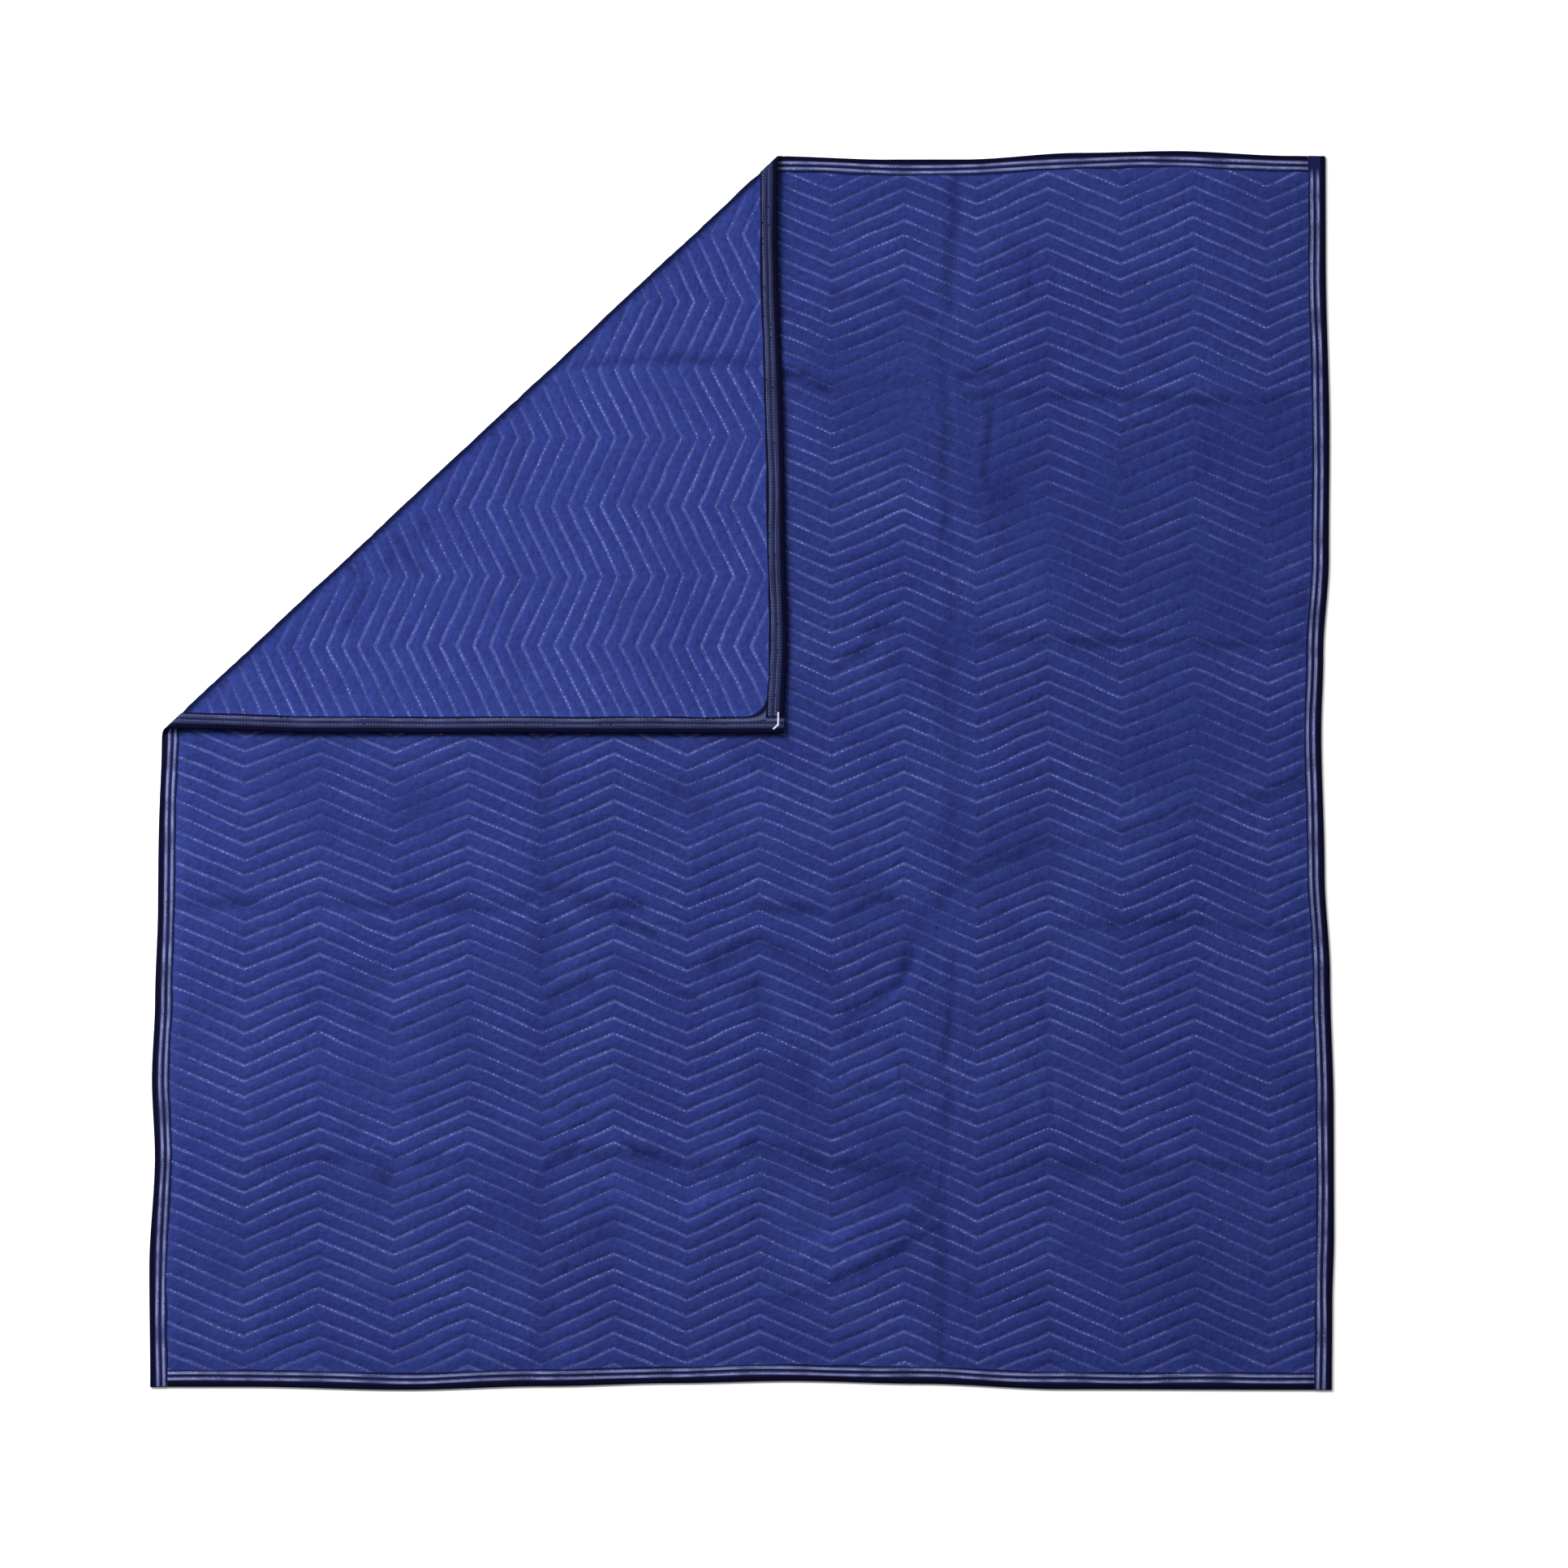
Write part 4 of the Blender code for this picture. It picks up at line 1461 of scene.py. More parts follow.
@dataclass
class QuiltedPanel:
    """The quilted body of the blanket, as its face cloth and its back cloth."""

    lie: Lie
    quilting: Quilting
    relief: Relief
    wear: Wear
    rim_inset: float = 0.0030
    rim_height: float = 0.0025
    rim_turn: float = 0.0015
    pressed_band: float = 0.0275
    puffed_from: float = 0.0440
    pressed: dict[Side, float] = field(default_factory=lambda: {Side.FACE: 0.0037, Side.BACK: 0.0013})
    columns_per_turn: int = 12
    turns_from_middle: int = 9
    column_clearance: float = 0.0025
    lines_in_row: dict[Side, tuple[float, ...]] = field(
        default_factory=lambda: {
            Side.FACE: (0.0, 0.11, 0.34, 0.66, 0.89),
            Side.BACK: (0.0, 0.2, 0.5, 0.8),
        }
    )
    fold_flats: int = 12
    fold_margin: float = 0.015
    least_thickness: float = 0.0011
    uneven_puffs: Unevenness = Unevenness(0.075, 31, 0.16)
    faded_puffs: float = 0.45
    hollow_puffs: float = 0.55
    rested_groove: float = 0.35
    pucker: Unevenness = Unevenness(0.026, 32, 0.00022)
    path_step: float = 0.0045
    hidden_from: float = 0.06
    proud: dict[Side, float] = field(default_factory=lambda: {Side.FACE: 0.0004, Side.BACK: -0.0003})
    sewn: float = 0.9
    uneven_sewn: Unevenness = Unevenness(0.12, 41, 0.3)
    worn_off: float = 0.55
    off_in_fold: float = 0.7
    bright: float = 0.9
    uneven_bright: Unevenness = Unevenness(0.16, 42, 0.42)
    crease_half: float = 0.020
    crease_step: float = 0.0035
    bare_bend: float = 0.005
    fold_press: float = 0.7

    def columns(self) -> Array:
        """The places across the cut where a sheet has points, the zigzag's turns among them.

        Returns:
            The places, from left to right.
        """
        half_period = self.quilting.zigzag_period / 2
        half_width = self.lie.cut.width / 2
        furthest = self.turns_from_middle * self.columns_per_turn
        number = np.arange(-furthest, furthest)
        even = self.quilting.first_valley + number * half_period / self.columns_per_turn
        places = even + self.quilting.turn_shift(even)
        rims = (self.rim_inset, self.rim_inset + self.rim_turn, self.pressed_band, self.puffed_from)
        rims = half_width - np.array(rims)
        ends = np.concatenate((-rims, rims))
        inner = places[np.abs(places) < half_width - self.rim_inset - 2 * self.rim_turn]
        reach = np.arange(-self.crease_half, self.crease_half, self.crease_step)
        fine = np.concatenate([middle * MM + reach for middle in sorted(UPRIGHT_CREASES_MM)])
        own = np.concatenate((ends, fine))
        clear = np.abs(inner[:, None] - own[None, :]).min(axis=1) > self.column_clearance
        return np.sort(np.concatenate((inner[clear], own)))

    def flat_sheet(self, side: Side) -> FlatSheet:
        """A sheet's flat mesh, with its lines along the quilting rows.

        Args:
            side: the cloth.

        Returns:
            The mesh, cut across the fold.
        """
        cut, quilting = self.lie.cut, self.quilting
        columns = self.columns()
        rows = (quilting.rows(cut)[:, None] + np.array(self.lines_in_row[side])[None, :]).ravel()
        u, row = np.meshgrid(columns, rows)
        v = quilting.line(cut, row, u, side)
        rim = cut.length / 2 - self.rim_inset

        lines = np.arange(len(rows))[:, None]
        lowest = np.where(v <= -rim, lines, 0).max(axis=0)
        highest = np.where(v >= rim, lines, len(rows) - 1).min(axis=0)
        index = np.clip(lines, lowest, highest) * len(columns) + np.arange(len(columns))
        v = np.clip(v, -rim, rim)
        a, b, c, d = index[:-1, :-1], index[:-1, 1:], index[1:, 1:], index[1:, :-1]
        corners = np.stack((a, b, c, d), axis=-1).reshape(-1, 4)
        left_shut = corners[:, 0] == corners[:, 3]
        right_shut = corners[:, 1] == corners[:, 2]
        whole = corners[~left_shut & ~right_shut].tolist()
        whole += corners[left_shut & ~right_shut][:, :3].tolist()
        whole += corners[~left_shut & right_shut][:, [0, 1, 3]].tolist()
        x, y = cut.lay(u.ravel(), v.ravel())
        used, renumbered = np.unique(np.concatenate([np.array(f) for f in whole]), return_inverse=True)
        renumbered = renumbered.reshape(-1).tolist()
        faces, at = [], 0
        for face in whole:
            faces.append(renumbered[at : at + len(face)])
            at += len(face)
        return self.cut_at_fold(FlatSheet(x[used], y[used], faces))

    def cut_at_fold(self, sheet: FlatSheet) -> FlatSheet:
        """Splits a flat mesh along the flats of the fold, so that the fold is round.

        Args:
            sheet: the mesh.

        Returns:
            The split mesh.
        """
        fold = self.lie.fold
        mesh = bmesh.new()
        corners = [mesh.verts.new((x, y, 0)) for x, y in zip(sheet.x.tolist(), sheet.y.tolist())]
        for face in sheet.faces:
            mesh.faces.new([corners[i] for i in face])
        across = fold.across(sheet.x, sheet.y)
        in_zone = (across > fold.start - self.fold_margin) & (across < fold.end + self.fold_margin)
        near = [face for face, ids in zip(mesh.faces, sheet.faces) if in_zone[ids].any()]
        zone = set(near)
        zone |= {edge for face in near for edge in face.edges}
        zone |= {corner for face in near for corner in face.verts}
        geometry = list(zone)
        for flat in range(self.fold_flats + 1):
            at = (fold.start + fold.length * flat / self.fold_flats) / math.sqrt(2)
            geometry = bmesh.ops.bisect_plane(
                mesh, geom=geometry, dist=1e-6, plane_co=(-at, at, 0), plane_no=(-1, 1, 0)
            )["geom"]
        mesh.verts.index_update()
        places = np.array([corner.co[:2] for corner in mesh.verts])
        faces = [[corner.index for corner in face.verts] for face in mesh.faces]
        mesh.free()
        return FlatSheet(places[:, 0], places[:, 1], faces)

    def heights(self, x: Array, y: Array) -> dict[Side, Array]:
        """The height in the cloth of both sides, along the stitched rows.

        Args:
            x: places across.
            y: places along.

        Returns:
            Heights of the face and of the back, before the puffs.
        """
        cut, fold, quilting = self.lie.cut, self.lie.fold, self.quilting
        u, v = cut.find(x, y)
        free = self.freedom(u, v)
        turned = smooth(fold.turned(x, y))
        sink = self.relief.sink(x, y)
        swell = self.relief.swell.at(x, y)
        face = quilting.stitched + swell * self.open_face(x, y) - sink * (1 - turned)
        back = quilting.back_groove * self.fullness(x, y, Side.BACK) + (sink + swell) * turned
        face = np.where(turned > 0.5, face, np.maximum(face, back + self.least_thickness))
        back = np.maximum(np.where(turned > 0.5, np.minimum(back, face - self.least_thickness), back), 0)
        made = {}
        for side, height in ((Side.FACE, face), (Side.BACK, back)):
            height = self.pressed[side] + (height - self.pressed[side]) * free
            rim = smooth((cut.to_edge(u, v) - self.rim_inset) / self.rim_turn)
            made[side] = self.rim_height + (height - self.rim_height) * rim
        return made

    def freedom(self, u: Array, v: Array) -> Array:
        """0 where the tape presses the panel flat and 1 where it is fully puffed."""
        to_edge = self.lie.cut.to_edge(u, v)
        return smooth((to_edge - self.pressed_band) / (self.puffed_from - self.pressed_band))

    def open_face(self, x: Array, y: Array) -> Array:
        """How open the face lies.

        Args:
            x: places across.
            y: places along.

        Returns:
            Shares, 1 in the open and 0 where the turned corner hides the face.
        """
        fold = self.lie.fold
        clear = smooth(-fold.covers(self.lie.cut, x, y) / self.hidden_from + 0.5)
        return clear * (1 - smooth(fold.turned(x, y)))

    def fullness(self, x: Array, y: Array, side: Side) -> Array:
        """How full the puffs are, against their usual height.

        Args:
            x: places across.
            y: places along.
            side: the cloth.

        Returns:
            Shares of the usual height.
        """
        uneven = self.uneven_puffs.at(x, y) - self.faded_puffs * faded(x, y)
        uneven = uneven - self.hollow_puffs * np.maximum(self.wear.hollow(x, y), 0)
        if side is Side.FACE:
            return 1 + uneven * self.open_face(x, y)
        turned = smooth(self.lie.fold.turned(x, y))
        full = self.rested_groove + (1 + uneven - self.rested_groove) * turned
        return full * (1 - self.fold_press * self.wear.near_fold(x, y))

    def build_sheet(self, side: Side, name: str, loft: QuiltLoft, material: Material) -> Object:
        """Makes one cloth of the panel.

        Args:
            side: the cloth.
            name: the piece's name.
            loft: the rule that raises its puffs.
            material: its material.

        Returns:
            The finished piece.
        """
        flat = self.flat_sheet(side)
        x, y = flat.x, flat.y
        height = self.heights(x, y)[side]
        points = self.lie.place(x, y, height)
        rise = self.lie.place(x, y, height + 1) - points
        u, v = self.lie.cut.find(x, y)
        free = self.freedom(u, v)
        puffed = free * self.fullness(x, y, side)
        pucker = self.pucker.at(x, y) * free
        if side is Side.BACK:
            pucker = pucker * smooth(self.lie.fold.turned(x, y))
        points = points + rise * pucker[:, None]
        faces = flat.faces if side is Side.FACE else [face[::-1] for face in flat.faces]

        mesh = bpy.data.meshes.new(name + "_flat")
        mesh.from_pydata(points.tolist(), [], faces)
        note_map(mesh, "cut", np.stack((u, v), axis=-1))
        note_map(mesh, "quilting", np.stack(self.quilting.drawn(x, y, side), axis=-1))
        note_points(mesh, loft=puffed, shade=self.wear.shade(x, y), fade=self.wear.worn(x, y))
        upward = mesh.attributes.new("rise", "FLOAT_VECTOR", "POINT")
        upward.data.foreach_set("vector", rise.astype(np.float32).ravel())

        quilting = self.quilting
        piece = loft.run(
            mesh,
            name,
            Row_Pitch=quilting.row_pitch,
            Zigzag_Period=quilting.zigzag_period,
            Zigzag_Rise=quilting.zigzag_rise,
            First_Valley=quilting.first_valley,
            Turn_Sharpness=quilting.turn_sharpness,
            Puff_Height=quilting.puff if side is Side.FACE else -quilting.back_groove,
            Puff_Power=quilting.puff_power,
            Material=material,
        )
        for helper in ("rise", "loft"):
            piece.data.attributes.remove(piece.data.attributes[helper])
        piece.data.shade_smooth()
        return piece

    def row_lines(self, side: Side, low: float, high: float) -> StitchLines:
        """The stitched rows that show on one side.

        Args:
            side: the cloth.
            low: the lowest place along the cut.
            high: the highest.

        Returns:
            The lines, lying on the cloth.
        """
        cut, fold, quilting = self.lie.cut, self.lie.fold, self.quilting
        inside = cut.width / 2 - self.pressed_band
        columns = np.arange(-inside, inside, self.path_step)
        u, row = np.meshgrid(columns, quilting.rows(cut))
        v = quilting.line(cut, row, u, side)
        x, y = cut.lay(u, v)
        shown = (np.abs(v) < cut.length / 2 - self.pressed_band) & (v >= low) & (v < high)
        if side is Side.FACE:
            shown &= (fold.turned(x, y) < 0.5) & (fold.covers(cut, x, y) < self.hidden_from)
        else:
            shown &= fold.across(x, y) > fold.end + self.bare_bend
        index = np.arange(u.size).reshape(u.shape)
        both = shown[:, :-1] & shown[:, 1:]
        joined = np.stack((index[:, :-1][both], index[:, 1:][both]), axis=-1)
        x, y = x.ravel(), y.ravel()
        points = self.lie.place(x, y, self.heights(x, y)[side] + self.proud[side])
        worn = self.wear.worn(x, y)
        sewn = self.sewn + self.uneven_sewn.at(x, y)
        sewn = sewn - self.worn_off * worn - self.off_in_fold * self.wear.near_fold(x, y)
        bright = (1 - worn) * (self.bright + self.uneven_bright.at(x, y))
        return StitchLines(points, sewn, bright, joined)


@dataclass
class EdgeTape:
    """A tape folded over one edge of the panel and sewn through twice."""

    edge: Edge
    lie: Lie
    width: float = 0.0270
    height: float = 0.0050
    thickness: float = 0.0010
    gap: float = 0.0003
    station_spacing: float = 0.010
    fold_spacing: float = 0.0022
    fold_clearance: float = 0.0020
    edge_flats: int = 8
    outer_stops: Pair = (0.0065, 0.0180)
    pocket_stops: Pair = (0.0100, 0.0190)
    lip: float = 0.0005
    sewn_at: Pair = (0.0135, 0.0230)
    back_bright: Pair = (0.15, 0.60)
    sewn: float = 0.95
    sewn_dip: float = 0.0004
    dip_width: float = 0.0013
    dip_steps: tuple[float, ...] = (-0.0024, -0.0011, 0.0, 0.0011, 0.0024)
    row_end: float = 0.0040
    path_step: float = 0.0045
    proud: float = 0.0002
    end_height: float = 0.8
    fillet: float = 0.0360
    fillet_stops: tuple[float, ...] = (1.0, 0.8, 0.6, 0.42, 0.26, 0.13, 0.04, 0.01, 0.0)
    fillet_clearance: float = 0.65
    corner_square: float = 0.0290
    dull_back: float = 0.5
    bright: float = 0.8
    uneven_bright: Unevenness = Unevenness(0.09, 51, 0.3)
    sharp_from: float = math.radians(55)
    waver: Unevenness = Unevenness(0.09, 51, 0.0006)
    waver_power: int = 6
    stray: Unevenness = Unevenness(0.26, 52, 0.0007)

    @property
    def upright(self) -> bool:
        """True for the left and right tapes, which run the whole length."""
        return self.edge in (Edge.LEFT, Edge.RIGHT)

    @property
    def half_run(self) -> float:
        """Half the tape's own length."""
        cut = self.lie.cut
        return cut.length / 2 if self.upright else cut.width / 2 - self.width - self.gap

    @property
    def bend(self) -> float:
        """The distance round from the blanket's very edge to where the tape lies flat."""
        return self.height / 2 * math.pi / 2

    @property
    def fillet_end(self) -> float:
        """Where the left tape has wholly rounded off the turned corner."""
        return self.half_run - self.width - self.gap

    def laid(self, along: Array, inward: Array) -> tuple[Array, Array]:
        """Where places of the tape lie.

        Args:
            along: places along the edge.
            inward: distances in from it.

        Returns:
            Places across and along, as laid.
        """
        cut = self.lie.cut
        sign = 1 if self.edge in (Edge.RIGHT, Edge.TOP) else -1
        if self.upright:
            return cut.lay(sign * (cut.width / 2 - inward), along)
        return cut.lay(along, sign * (cut.length / 2 - inward))

    def dip(self, inward: Array) -> Array:
        """How far the stitch rows draw the tape in, at distances in from the edge."""
        rows = [np.exp(-(((inward - at) / self.dip_width) ** 2)) for at in self.sewn_at]
        return self.sewn_dip * sum(rows)

    def outline(self, radius: float, stops: Array, dips: Array) -> Array:
        """Two flat runs and the bend between them.

        Args:
            radius: the bend's radius, and the runs' distance from the middle.
            stops: the runs' distances in from the edge.
            dips: how far each stop is drawn in.

        Returns:
            Points from the lower run to the upper one, as rows of distance in, height and distance
            round from the blanket's very edge.
        """
        half = self.height / 2
        turn = np.linspace(-90, 90, self.edge_flats + 1)[1:-1] * math.pi / 180
        flat = list(zip(stops, dips, stops - half + self.bend))
        below = [(stop, half - radius + dip, -way) for stop, dip, way in flat[::-1]]
        edge = [(half - radius * math.cos(t), half + radius * math.sin(t), half * t) for t in turn]
        above = [(stop, half + radius - dip, way) for stop, dip, way in flat]
        return np.array(below + edge + above)

    def section(self) -> tuple[Array, Array]:
        """The tape's cross section.

        Returns:
            Its outer points and its pocket's points, in the columns of an outline.
        """
        half = self.height / 2
        near = [at + step for at in self.sewn_at for step in self.dip_steps]
        stops = np.sort([half, *self.outer_stops, *near, self.width - self.lip])
        outer = self.outline(half, stops, self.dip(stops))
        stops = np.array([half, *self.pocket_stops, self.width - self.lip])
        pocket = self.outline(half - self.thickness, stops, np.zeros(len(stops)))[::-1]
        way = self.width - half + self.bend
        low_lip = (self.width, self.thickness / 2, -way)
        top_lip = (self.width, self.height - self.thickness / 2, way)
        return np.vstack((low_lip, outer, top_lip)), pocket

    def stations(self) -> Array:
        """The places along the edge where the tape has a section, close together in the fold.

        Returns:
            The places, in order.
        """
        half = self.half_run - (self.thickness if self.upright else 0)
        places = np.linspace(-half, half, math.ceil(2 * half / self.station_spacing) + 1)
        fine = np.arange(-half, half, self.fold_spacing)
        x, y = self.laid(fine[:, None], np.array((0, self.width))[None, :])
        turned = self.lie.fold.turned(x, y)
        crossing = fine[(turned.min(axis=1) < 1) & (turned.max(axis=1) > 0)]
        if self.edge is Edge.LEFT:
            rounding = self.fillet_end - self.fillet * np.array(self.fillet_stops)
            clear = np.abs(places - rounding.mean()) > self.fillet_clearance * self.fillet
            places = np.sort(np.concatenate((places[clear], rounding)))
        if not len(crossing):
            return places
        before = places < crossing[0] - self.fold_clearance
        after = places > crossing[-1] + self.fold_clearance
        return np.sort(np.concatenate((places[before | after], crossing)))

    def corner(self, along: float) -> float:
        """How much further in the left tape reaches where it rounds off the turned corner.

        Args:
            along: a place along the edge.

        Returns:
            The distance, 0 on the other tapes.
        """
        before = self.fillet_end - along
        if self.edge is not Edge.LEFT or not 0 < before < self.fillet:
            return 0.0
        return self.fillet - math.sqrt(self.fillet**2 - (self.fillet - before) ** 2)

    def ring(self, along: float, section: Array) -> Array:
        """Sets a section at a place along the edge.

        Args:
            along: the place.
            section: its points, in the columns of an outline.

        Returns:
            Points of the frame.
        """
        inward, level = section[:, 0], section[:, 1]
        place = np.full(len(section), along)
        waver = self.waver.at(place, np.full(len(section), self.half_run))
        reach = waver + self.corner(along)
        inward = inward + reach * (inward / self.width) ** self.waver_power
        x, y = self.laid(place, inward)
        return self.lie.place(x, y, level)

    def build(self, material: Material) -> Object:
        """Makes the tape.

        Args:
            material: its material.

        Returns:
            The finished piece.
        """
        outer, pocket = self.section()
        whole = np.vstack((outer, pocket))
        places = self.stations()
        points = [self.ring(along, whole) for along in places]
        maps = [np.stack((whole[:, 2], np.full(len(whole), along)), axis=-1) for along in places]
        count, size = len(places), len(whole)
        faces = []
        for station in range(count - 1):
            for i in range(size):
                j = (i + 1) % size
                a, b = station * size + i, station * size + j
                faces.append((a, b, b + size, a + size))
        ends = ((0, -self.half_run), (count - 1, self.half_run))
        total = count * size
        for station, wall_at in ends:
            base = station * size
            if not self.upright:
                faces.append(tuple(range(base, base + size)))
                continue
            wall = outer.copy()
            wall[:, 1] = self.height / 2 + (wall[:, 1] - self.height / 2) * self.end_height
            points.append(self.ring(wall_at, wall))
            maps.append(np.stack((wall[:, 2], np.full(len(wall), wall_at)), axis=-1))
            last = len(outer) - 1
            for i in range(last):
                faces.append((total + i, total + i + 1, base + i + 1, base + i))
            first_pocket, last_pocket = base + len(outer), base + size - 1
            faces.append((total + last, total, base, last_pocket, first_pocket, base + last))
            faces.append(tuple(range(total, total + len(outer))))
            faces.append(tuple(range(first_pocket, last_pocket + 1)))
            total += len(outer)
        return self.finish(np.vstack(points), np.vstack(maps), faces, material)

    def seam(self, along: Array) -> Array:
        """How much the stitches show.

        Args:
            along: places along the edge.

        Returns:
            Shares, 0 on the square at the right tape's upper end.
        """
        if self.edge is Edge.RIGHT:
            last = self.half_run - self.corner_square - self.row_end
            return 1 - smooth((along - last) / self.row_end)
        if self.edge is not Edge.TOP:
            return np.ones(np.shape(along))
        x, y = self.laid(along, np.zeros(np.shape(along)))
        return 1 - self.dull_back * self.lie.fold.turned(x, y)

    def sway(self, along: Array) -> Array:
        """How far the rows of stitches stray inwards at places along the edge."""
        return self.stray.at(along, np.full(np.shape(along), 3 * self.half_run))

    def finish(self, points: Array, maps: Array, faces: list, material: Material) -> Object:
        """Turns points and faces into the finished tape.

        Args:
            points: its points.
            maps: each point's place round the edge and along it.
            faces: its faces.
            material: its material.

        Returns:
            The finished piece.
        """
        mesh = bpy.data.meshes.new(self.edge.value + "_tape")
        mesh.from_pydata(points.tolist(), [], faces)
        working = bmesh.new()
        working.from_mesh(mesh)
        bmesh.ops.recalc_face_normals(working, faces=working.faces[:])
        working.to_mesh(mesh)
        working.free()
        note_map(mesh, "cut", maps)
        note_points(mesh, seam=self.seam(maps[:, 1]), sway=self.sway(maps[:, 1]))
        mesh.shade_smooth()
        mesh.set_sharp_from_angle(angle=self.sharp_from)
        mesh.materials.append(material)
        return show(self.edge.value + "_tape", mesh)

    def stitch_lines(self) -> StitchLines:
        """The two rows of stitches, on the side of the tape that shows.

        Returns:
            The lines, lying on the tape.
        """
        start = -self.half_run + self.row_end
        end = self.half_run - self.row_end
        if self.edge is Edge.RIGHT:
            end = self.half_run - self.corner_square - self.thickness
        along = np.arange(start, end, self.path_step)
        points, joined, bright = [], [], []
        for number, (at, back_share) in enumerate(zip(self.sewn_at, self.back_bright)):
            dip = float(self.dip(np.array(at))) - self.proud
            x, y = self.laid(along, at + self.sway(along))
            turned = self.lie.fold.turned(x, y)
            over = turned > 0.5
            points.append(self.lie.place(x, y, np.where(over, dip, self.height - dip)))
            light = self.bright + self.uneven_bright.at(x, y)
            bright.append(np.where(over, back_share * light, light) * self.seam(along))
            flat = (turned == 0) | (turned == 1)
            same = np.nonzero((over[:-1] == over[1:]) & flat[:-1] & flat[1:])[0] + number * len(along)
            joined.append(np.stack((same, same + 1), axis=-1))
        placed = np.vstack(points)
        sewn = np.full(len(placed), self.sewn)
        return StitchLines(placed, sewn, np.concatenate(bright), np.vstack(joined))


@dataclass
class CornerTack:
    """The short L of close stitches that holds the tape at the turned corner."""

    lie: Lie
    at: tuple[Pair, ...] = ((-0.8787, 1.0264), (-0.8992, 1.0264), (-0.9059, 1.0189))
    step: float = 0.0008
    proud: float = 0.0003

    def lines(self) -> StitchLines:
        """The middle line of the tack.

        Returns:
            The line, lying on the back of the tape.
        """
        stops = np.array(self.at)
        parts = []
        for near, far in zip(stops, stops[1:]):
            share = np.arange(0, 1, self.step / math.dist(near, far))[:, None]
            parts.append(near + (far - near) * share)
        places = np.vstack((*parts, stops[-1:]))
        points = self.lie.place(places[:, 0], places[:, 1], np.full(len(places), -self.proud))
        index = np.arange(len(points) - 1)
        joined = np.stack((index, index + 1), axis=-1)
        return StitchLines(points, np.ones(len(points)), np.ones(len(points)), joined)


@dataclass(frozen=True)
class Lamp:
    """A soft light that faces the middle of the blanket."""

    name: str
    kind: str
    place: Triple
    size: float
    power: float

    def build(self) -> None:
        """Adds the light. A sun's size is its angle, an area light's its width."""
        data = bpy.data.lights.new(self.name, self.kind)
        data.energy = self.power
        if self.kind == "SUN":
            data.angle = self.size
        else:
            data.shape = "DISK"
            data.size = self.size
        light = show(self.name, data)
        light.location = self.place
        light.rotation_euler = (-Vector(self.place)).to_track_quat("-Z", "Y").to_euler()


@dataclass
class Studio:
    """The pale floor, the soft lights and the camera at the photograph's viewing angle."""

    frame_width: float = 2.433
    elevation: float = math.radians(69.6)
    lens: float = 1600.0
    aim: Triple = (0.0656, -0.0250, 0.0)
    sensor: float = 36.0
    lamps: tuple[Lamp, ...] = (
        Lamp("key", "AREA", place=(-2.5, 1.3, 2.8), size=2.6, power=205.0),
        Lamp("fill", "SUN", place=(-1.3, 1.5, 2.4), size=0.45, power=1.40),
    )
    sky: float = 0.45
    floor_size: float = 60.0
    floor_level: float = -0.0005
    floor_colour: Triple = (0.96, 0.96, 0.965)
    floor_roughness: float = 0.9

    def build(self) -> None:
        """Sets up the whole studio."""
        bpy.context.scene.view_settings.view_transform = "Standard"
        self.add_floor()
        for lamp in self.lamps:
            lamp.build()
        self.add_sky()
        self.add_camera()

    def add_sky(self) -> None:
        """Adds the even light of a pale sky."""
        world = bpy.data.worlds.new("soft_sky")
        world.use_nodes = True
        sky = world.node_tree.nodes["Background"]
        sky.inputs["Color"].default_value = (1, 1, 1, 1)
        sky.inputs["Strength"].default_value = self.sky
        bpy.context.scene.world = world

    def add_camera(self) -> None:
        """Adds the camera, so far off that the blanket hardly narrows with distance."""
        data = bpy.data.cameras.new("camera")
        data.sensor_width = self.sensor
        data.lens = self.lens
        distance = self.lens * self.frame_width / self.sensor
        data.clip_end = 2 * distance
        camera = show("camera", data)
        back = Vector((0, -math.cos(self.elevation), math.sin(self.elevation)))
        camera.location = Vector(self.aim) + back * distance
        camera.rotation_euler = (math.pi / 2 - self.elevation, 0, 0)
        bpy.context.scene.camera = camera

    def add_floor(self) -> None:
        """Adds the plain pale floor."""
        half = self.floor_size / 2
        mesh = bpy.data.meshes.new("floor")
        corners = [(-half, -half, 0), (half, -half, 0), (half, half, 0), (-half, half, 0)]
        mesh.from_pydata(corners, [], [(0, 1, 2, 3)])
        colour = self.floor_colour + (1,)
        mesh.materials.append(
            ShaderBench("floor").finish(Base_Color=colour, Roughness=self.floor_roughness)
        )
        floor = show("floor", mesh)
        floor.location.z = self.floor_level


def report(piece: Object) -> Object:
    """Logs a finished piece and lets it ride with the blanket.

    Args:
        piece: the piece.

    Returns:
        The same piece.
    """
    piece.data.calc_loop_triangles()
    log.info("%s: %d triangles", piece.name, len(piece.data.loop_triangles))
    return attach(piece, "root")


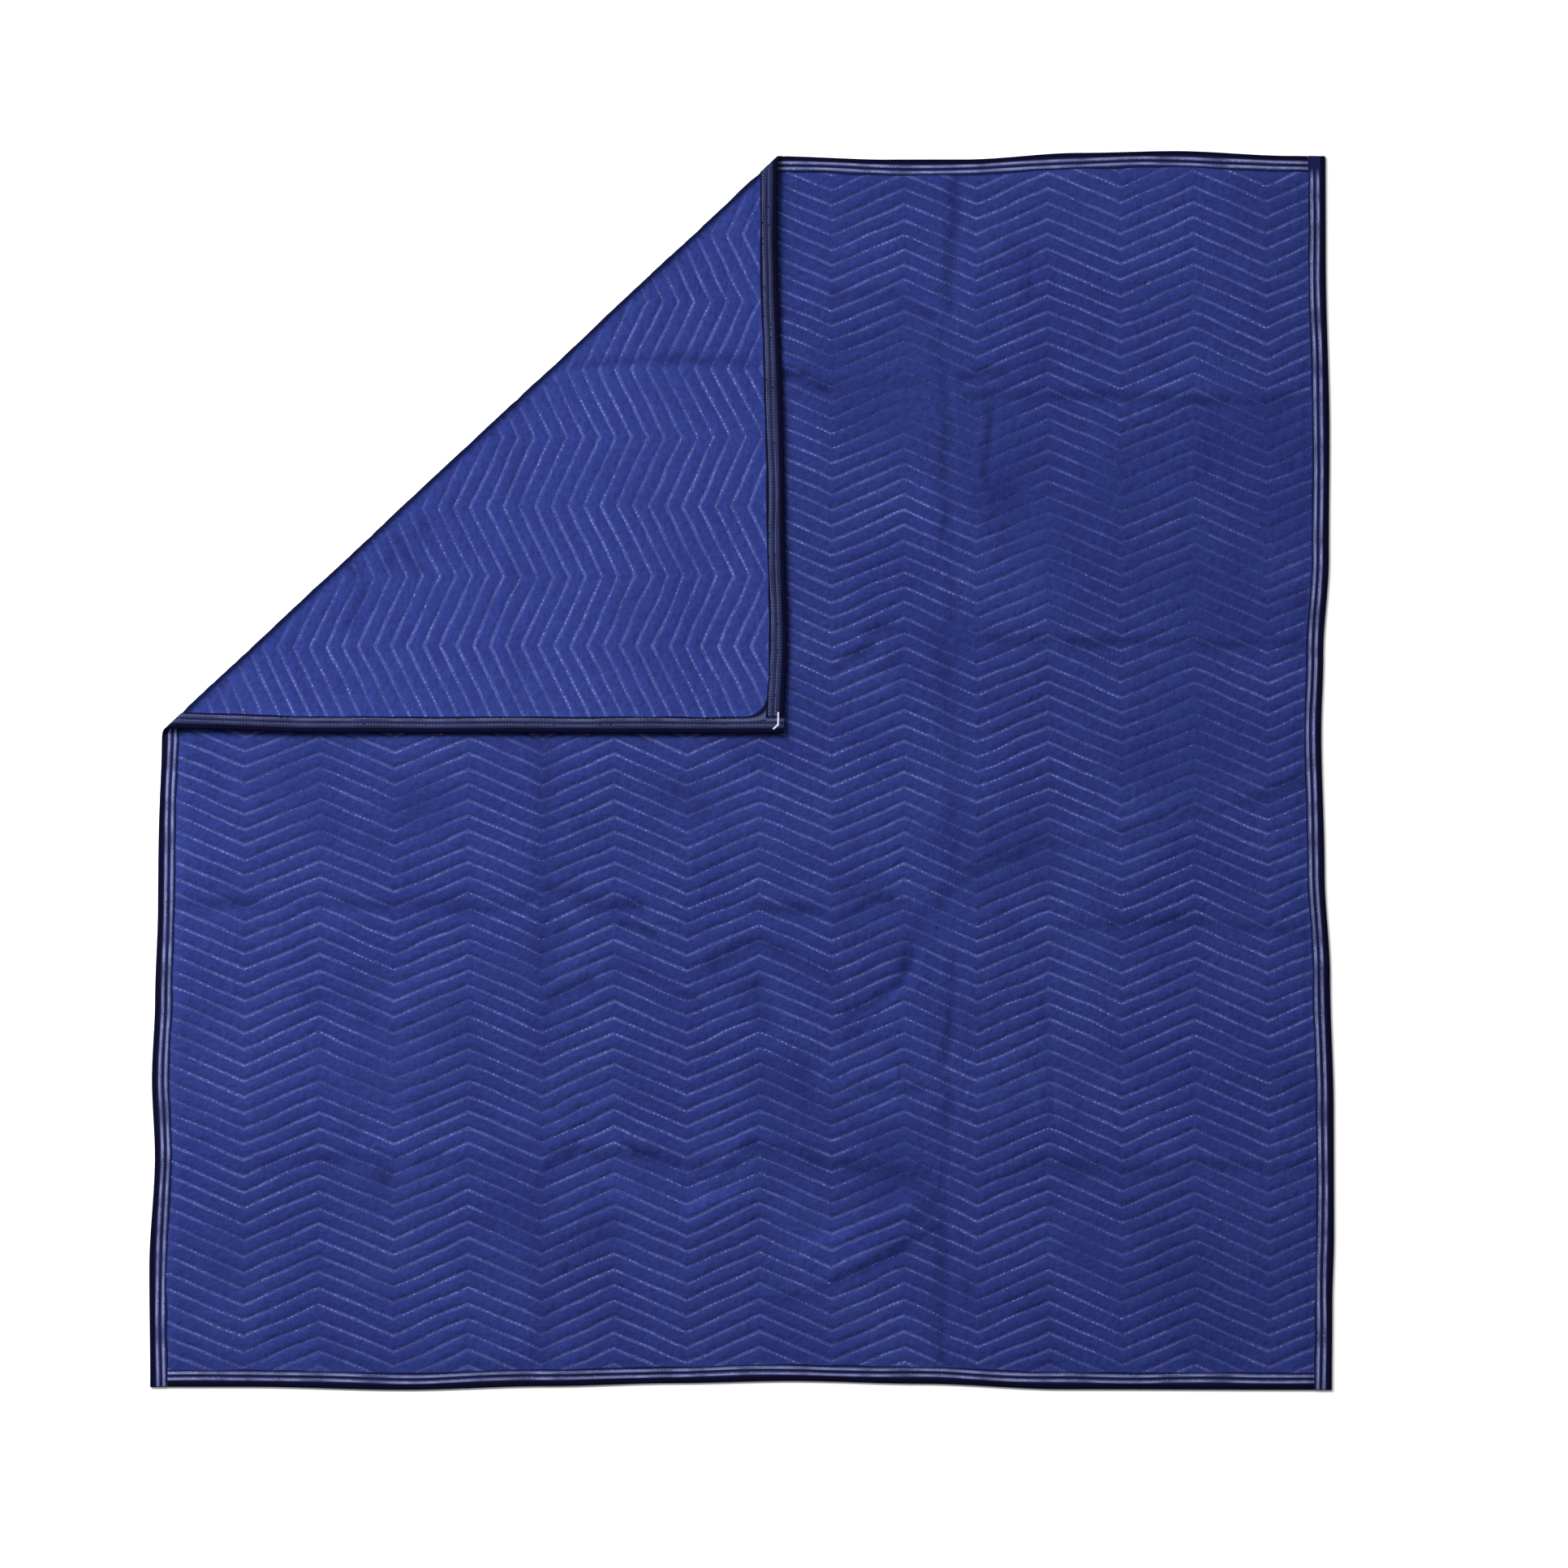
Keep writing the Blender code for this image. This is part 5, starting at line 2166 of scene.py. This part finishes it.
def main() -> None:
    """Builds the blanket and its studio."""
    logging.basicConfig(level=logging.INFO, format="%(name)s: %(message)s")
    Studio().build()
    lie, quilting, relief = Lie(), Quilting(), Relief()
    panel = QuiltedPanel(lie, quilting, relief, Wear(lie, relief))

    shared = {"thread_colour": (0.14, 0.17, 0.47), "quilting": quilting}
    face_finish = ClothFinish(
        "face_cloth",
        colour=(0.0131, 0.0213, 0.118),
        worn_colour=(0.0158, 0.0258, 0.133),
        **shared,
    )
    back_finish = ClothFinish(
        "back_cloth",
        colour=(0.0149, 0.0246, 0.137),
        worn_colour=(0.0172, 0.0281, 0.150),
        drawn_thread=0.34,
        row_shade=0.07,
        **shared,
    )
    tape_finish = TapeFinish(
        "edge_tape",
        colour=(0.0050, 0.0068, 0.0400),
        back_colour=(0.0100, 0.0130, 0.0430),
        edge_colour=(0.0009, 0.0009, 0.0110),
        thread_colour=(0.1900, 0.2080, 0.4000),
        sewn_at=EdgeTape.sewn_at,
        lip_at=EdgeTape.width,
    ).material()
    thread = ThreadFinish("quilting_thread", (0.032, 0.046, 0.205), (0.138, 0.166, 0.460)).material()
    tape_thread = ThreadFinish("tape_thread", (0.055, 0.066, 0.170), (0.150, 0.172, 0.350)).material()
    tack_thread = ThreadFinish("tack_thread", (0.55, 0.58, 0.70), (0.85, 0.87, 0.95)).material()

    loft, stitches = QuiltLoft(), StitchRun()
    face = report(panel.build_sheet(Side.FACE, "quilt_face", loft, face_finish.material()))
    back = report(panel.build_sheet(Side.BACK, "quilt_back", loft, back_finish.material()))
    for cloth in (face, back):
        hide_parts("quilted_panel")

    trim = []
    tape_stitch = Thread(pitch=0.0044, length=0.0043, width=0.0026, height=0.0009)
    for number, edge in enumerate(Edge):
        tape = EdgeTape(edge, lie)
        made = report(tape.build(tape_finish))
        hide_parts(edge.value)
        name = edge.value.replace("binding", "stitches")
        trim += [made, report(stitches.sew(name, tape.stitch_lines(), tape_stitch, tape_thread, number))]

    row_stitch = Thread(pitch=0.0068, length=0.0066, width=0.0024, height=0.0010)
    reach, split = lie.cut.length, -0.28
    bands = {"row_stitches_lower": (-reach, split), "row_stitches_upper": (split, reach)}
    for number, (name, band) in enumerate(bands.items()):
        lines = panel.row_lines(Side.FACE, *band)
        trim.append(report(stitches.sew(name, lines, row_stitch, thread, 10 + number)))
    back_lines = panel.row_lines(Side.BACK, -reach, reach)
    trim.append(report(stitches.sew("row_stitches_corner", back_lines, row_stitch, thread, 20)))
    tack_stitch = Thread(pitch=0.0010, length=0.0012, width=0.0042, height=0.0012, tilt=0.25)
    trim.append(report(stitches.sew("corner_tack", CornerTack(lie).lines(), tack_stitch, tack_thread, 30)))


if __name__ == "__main__":
    main()
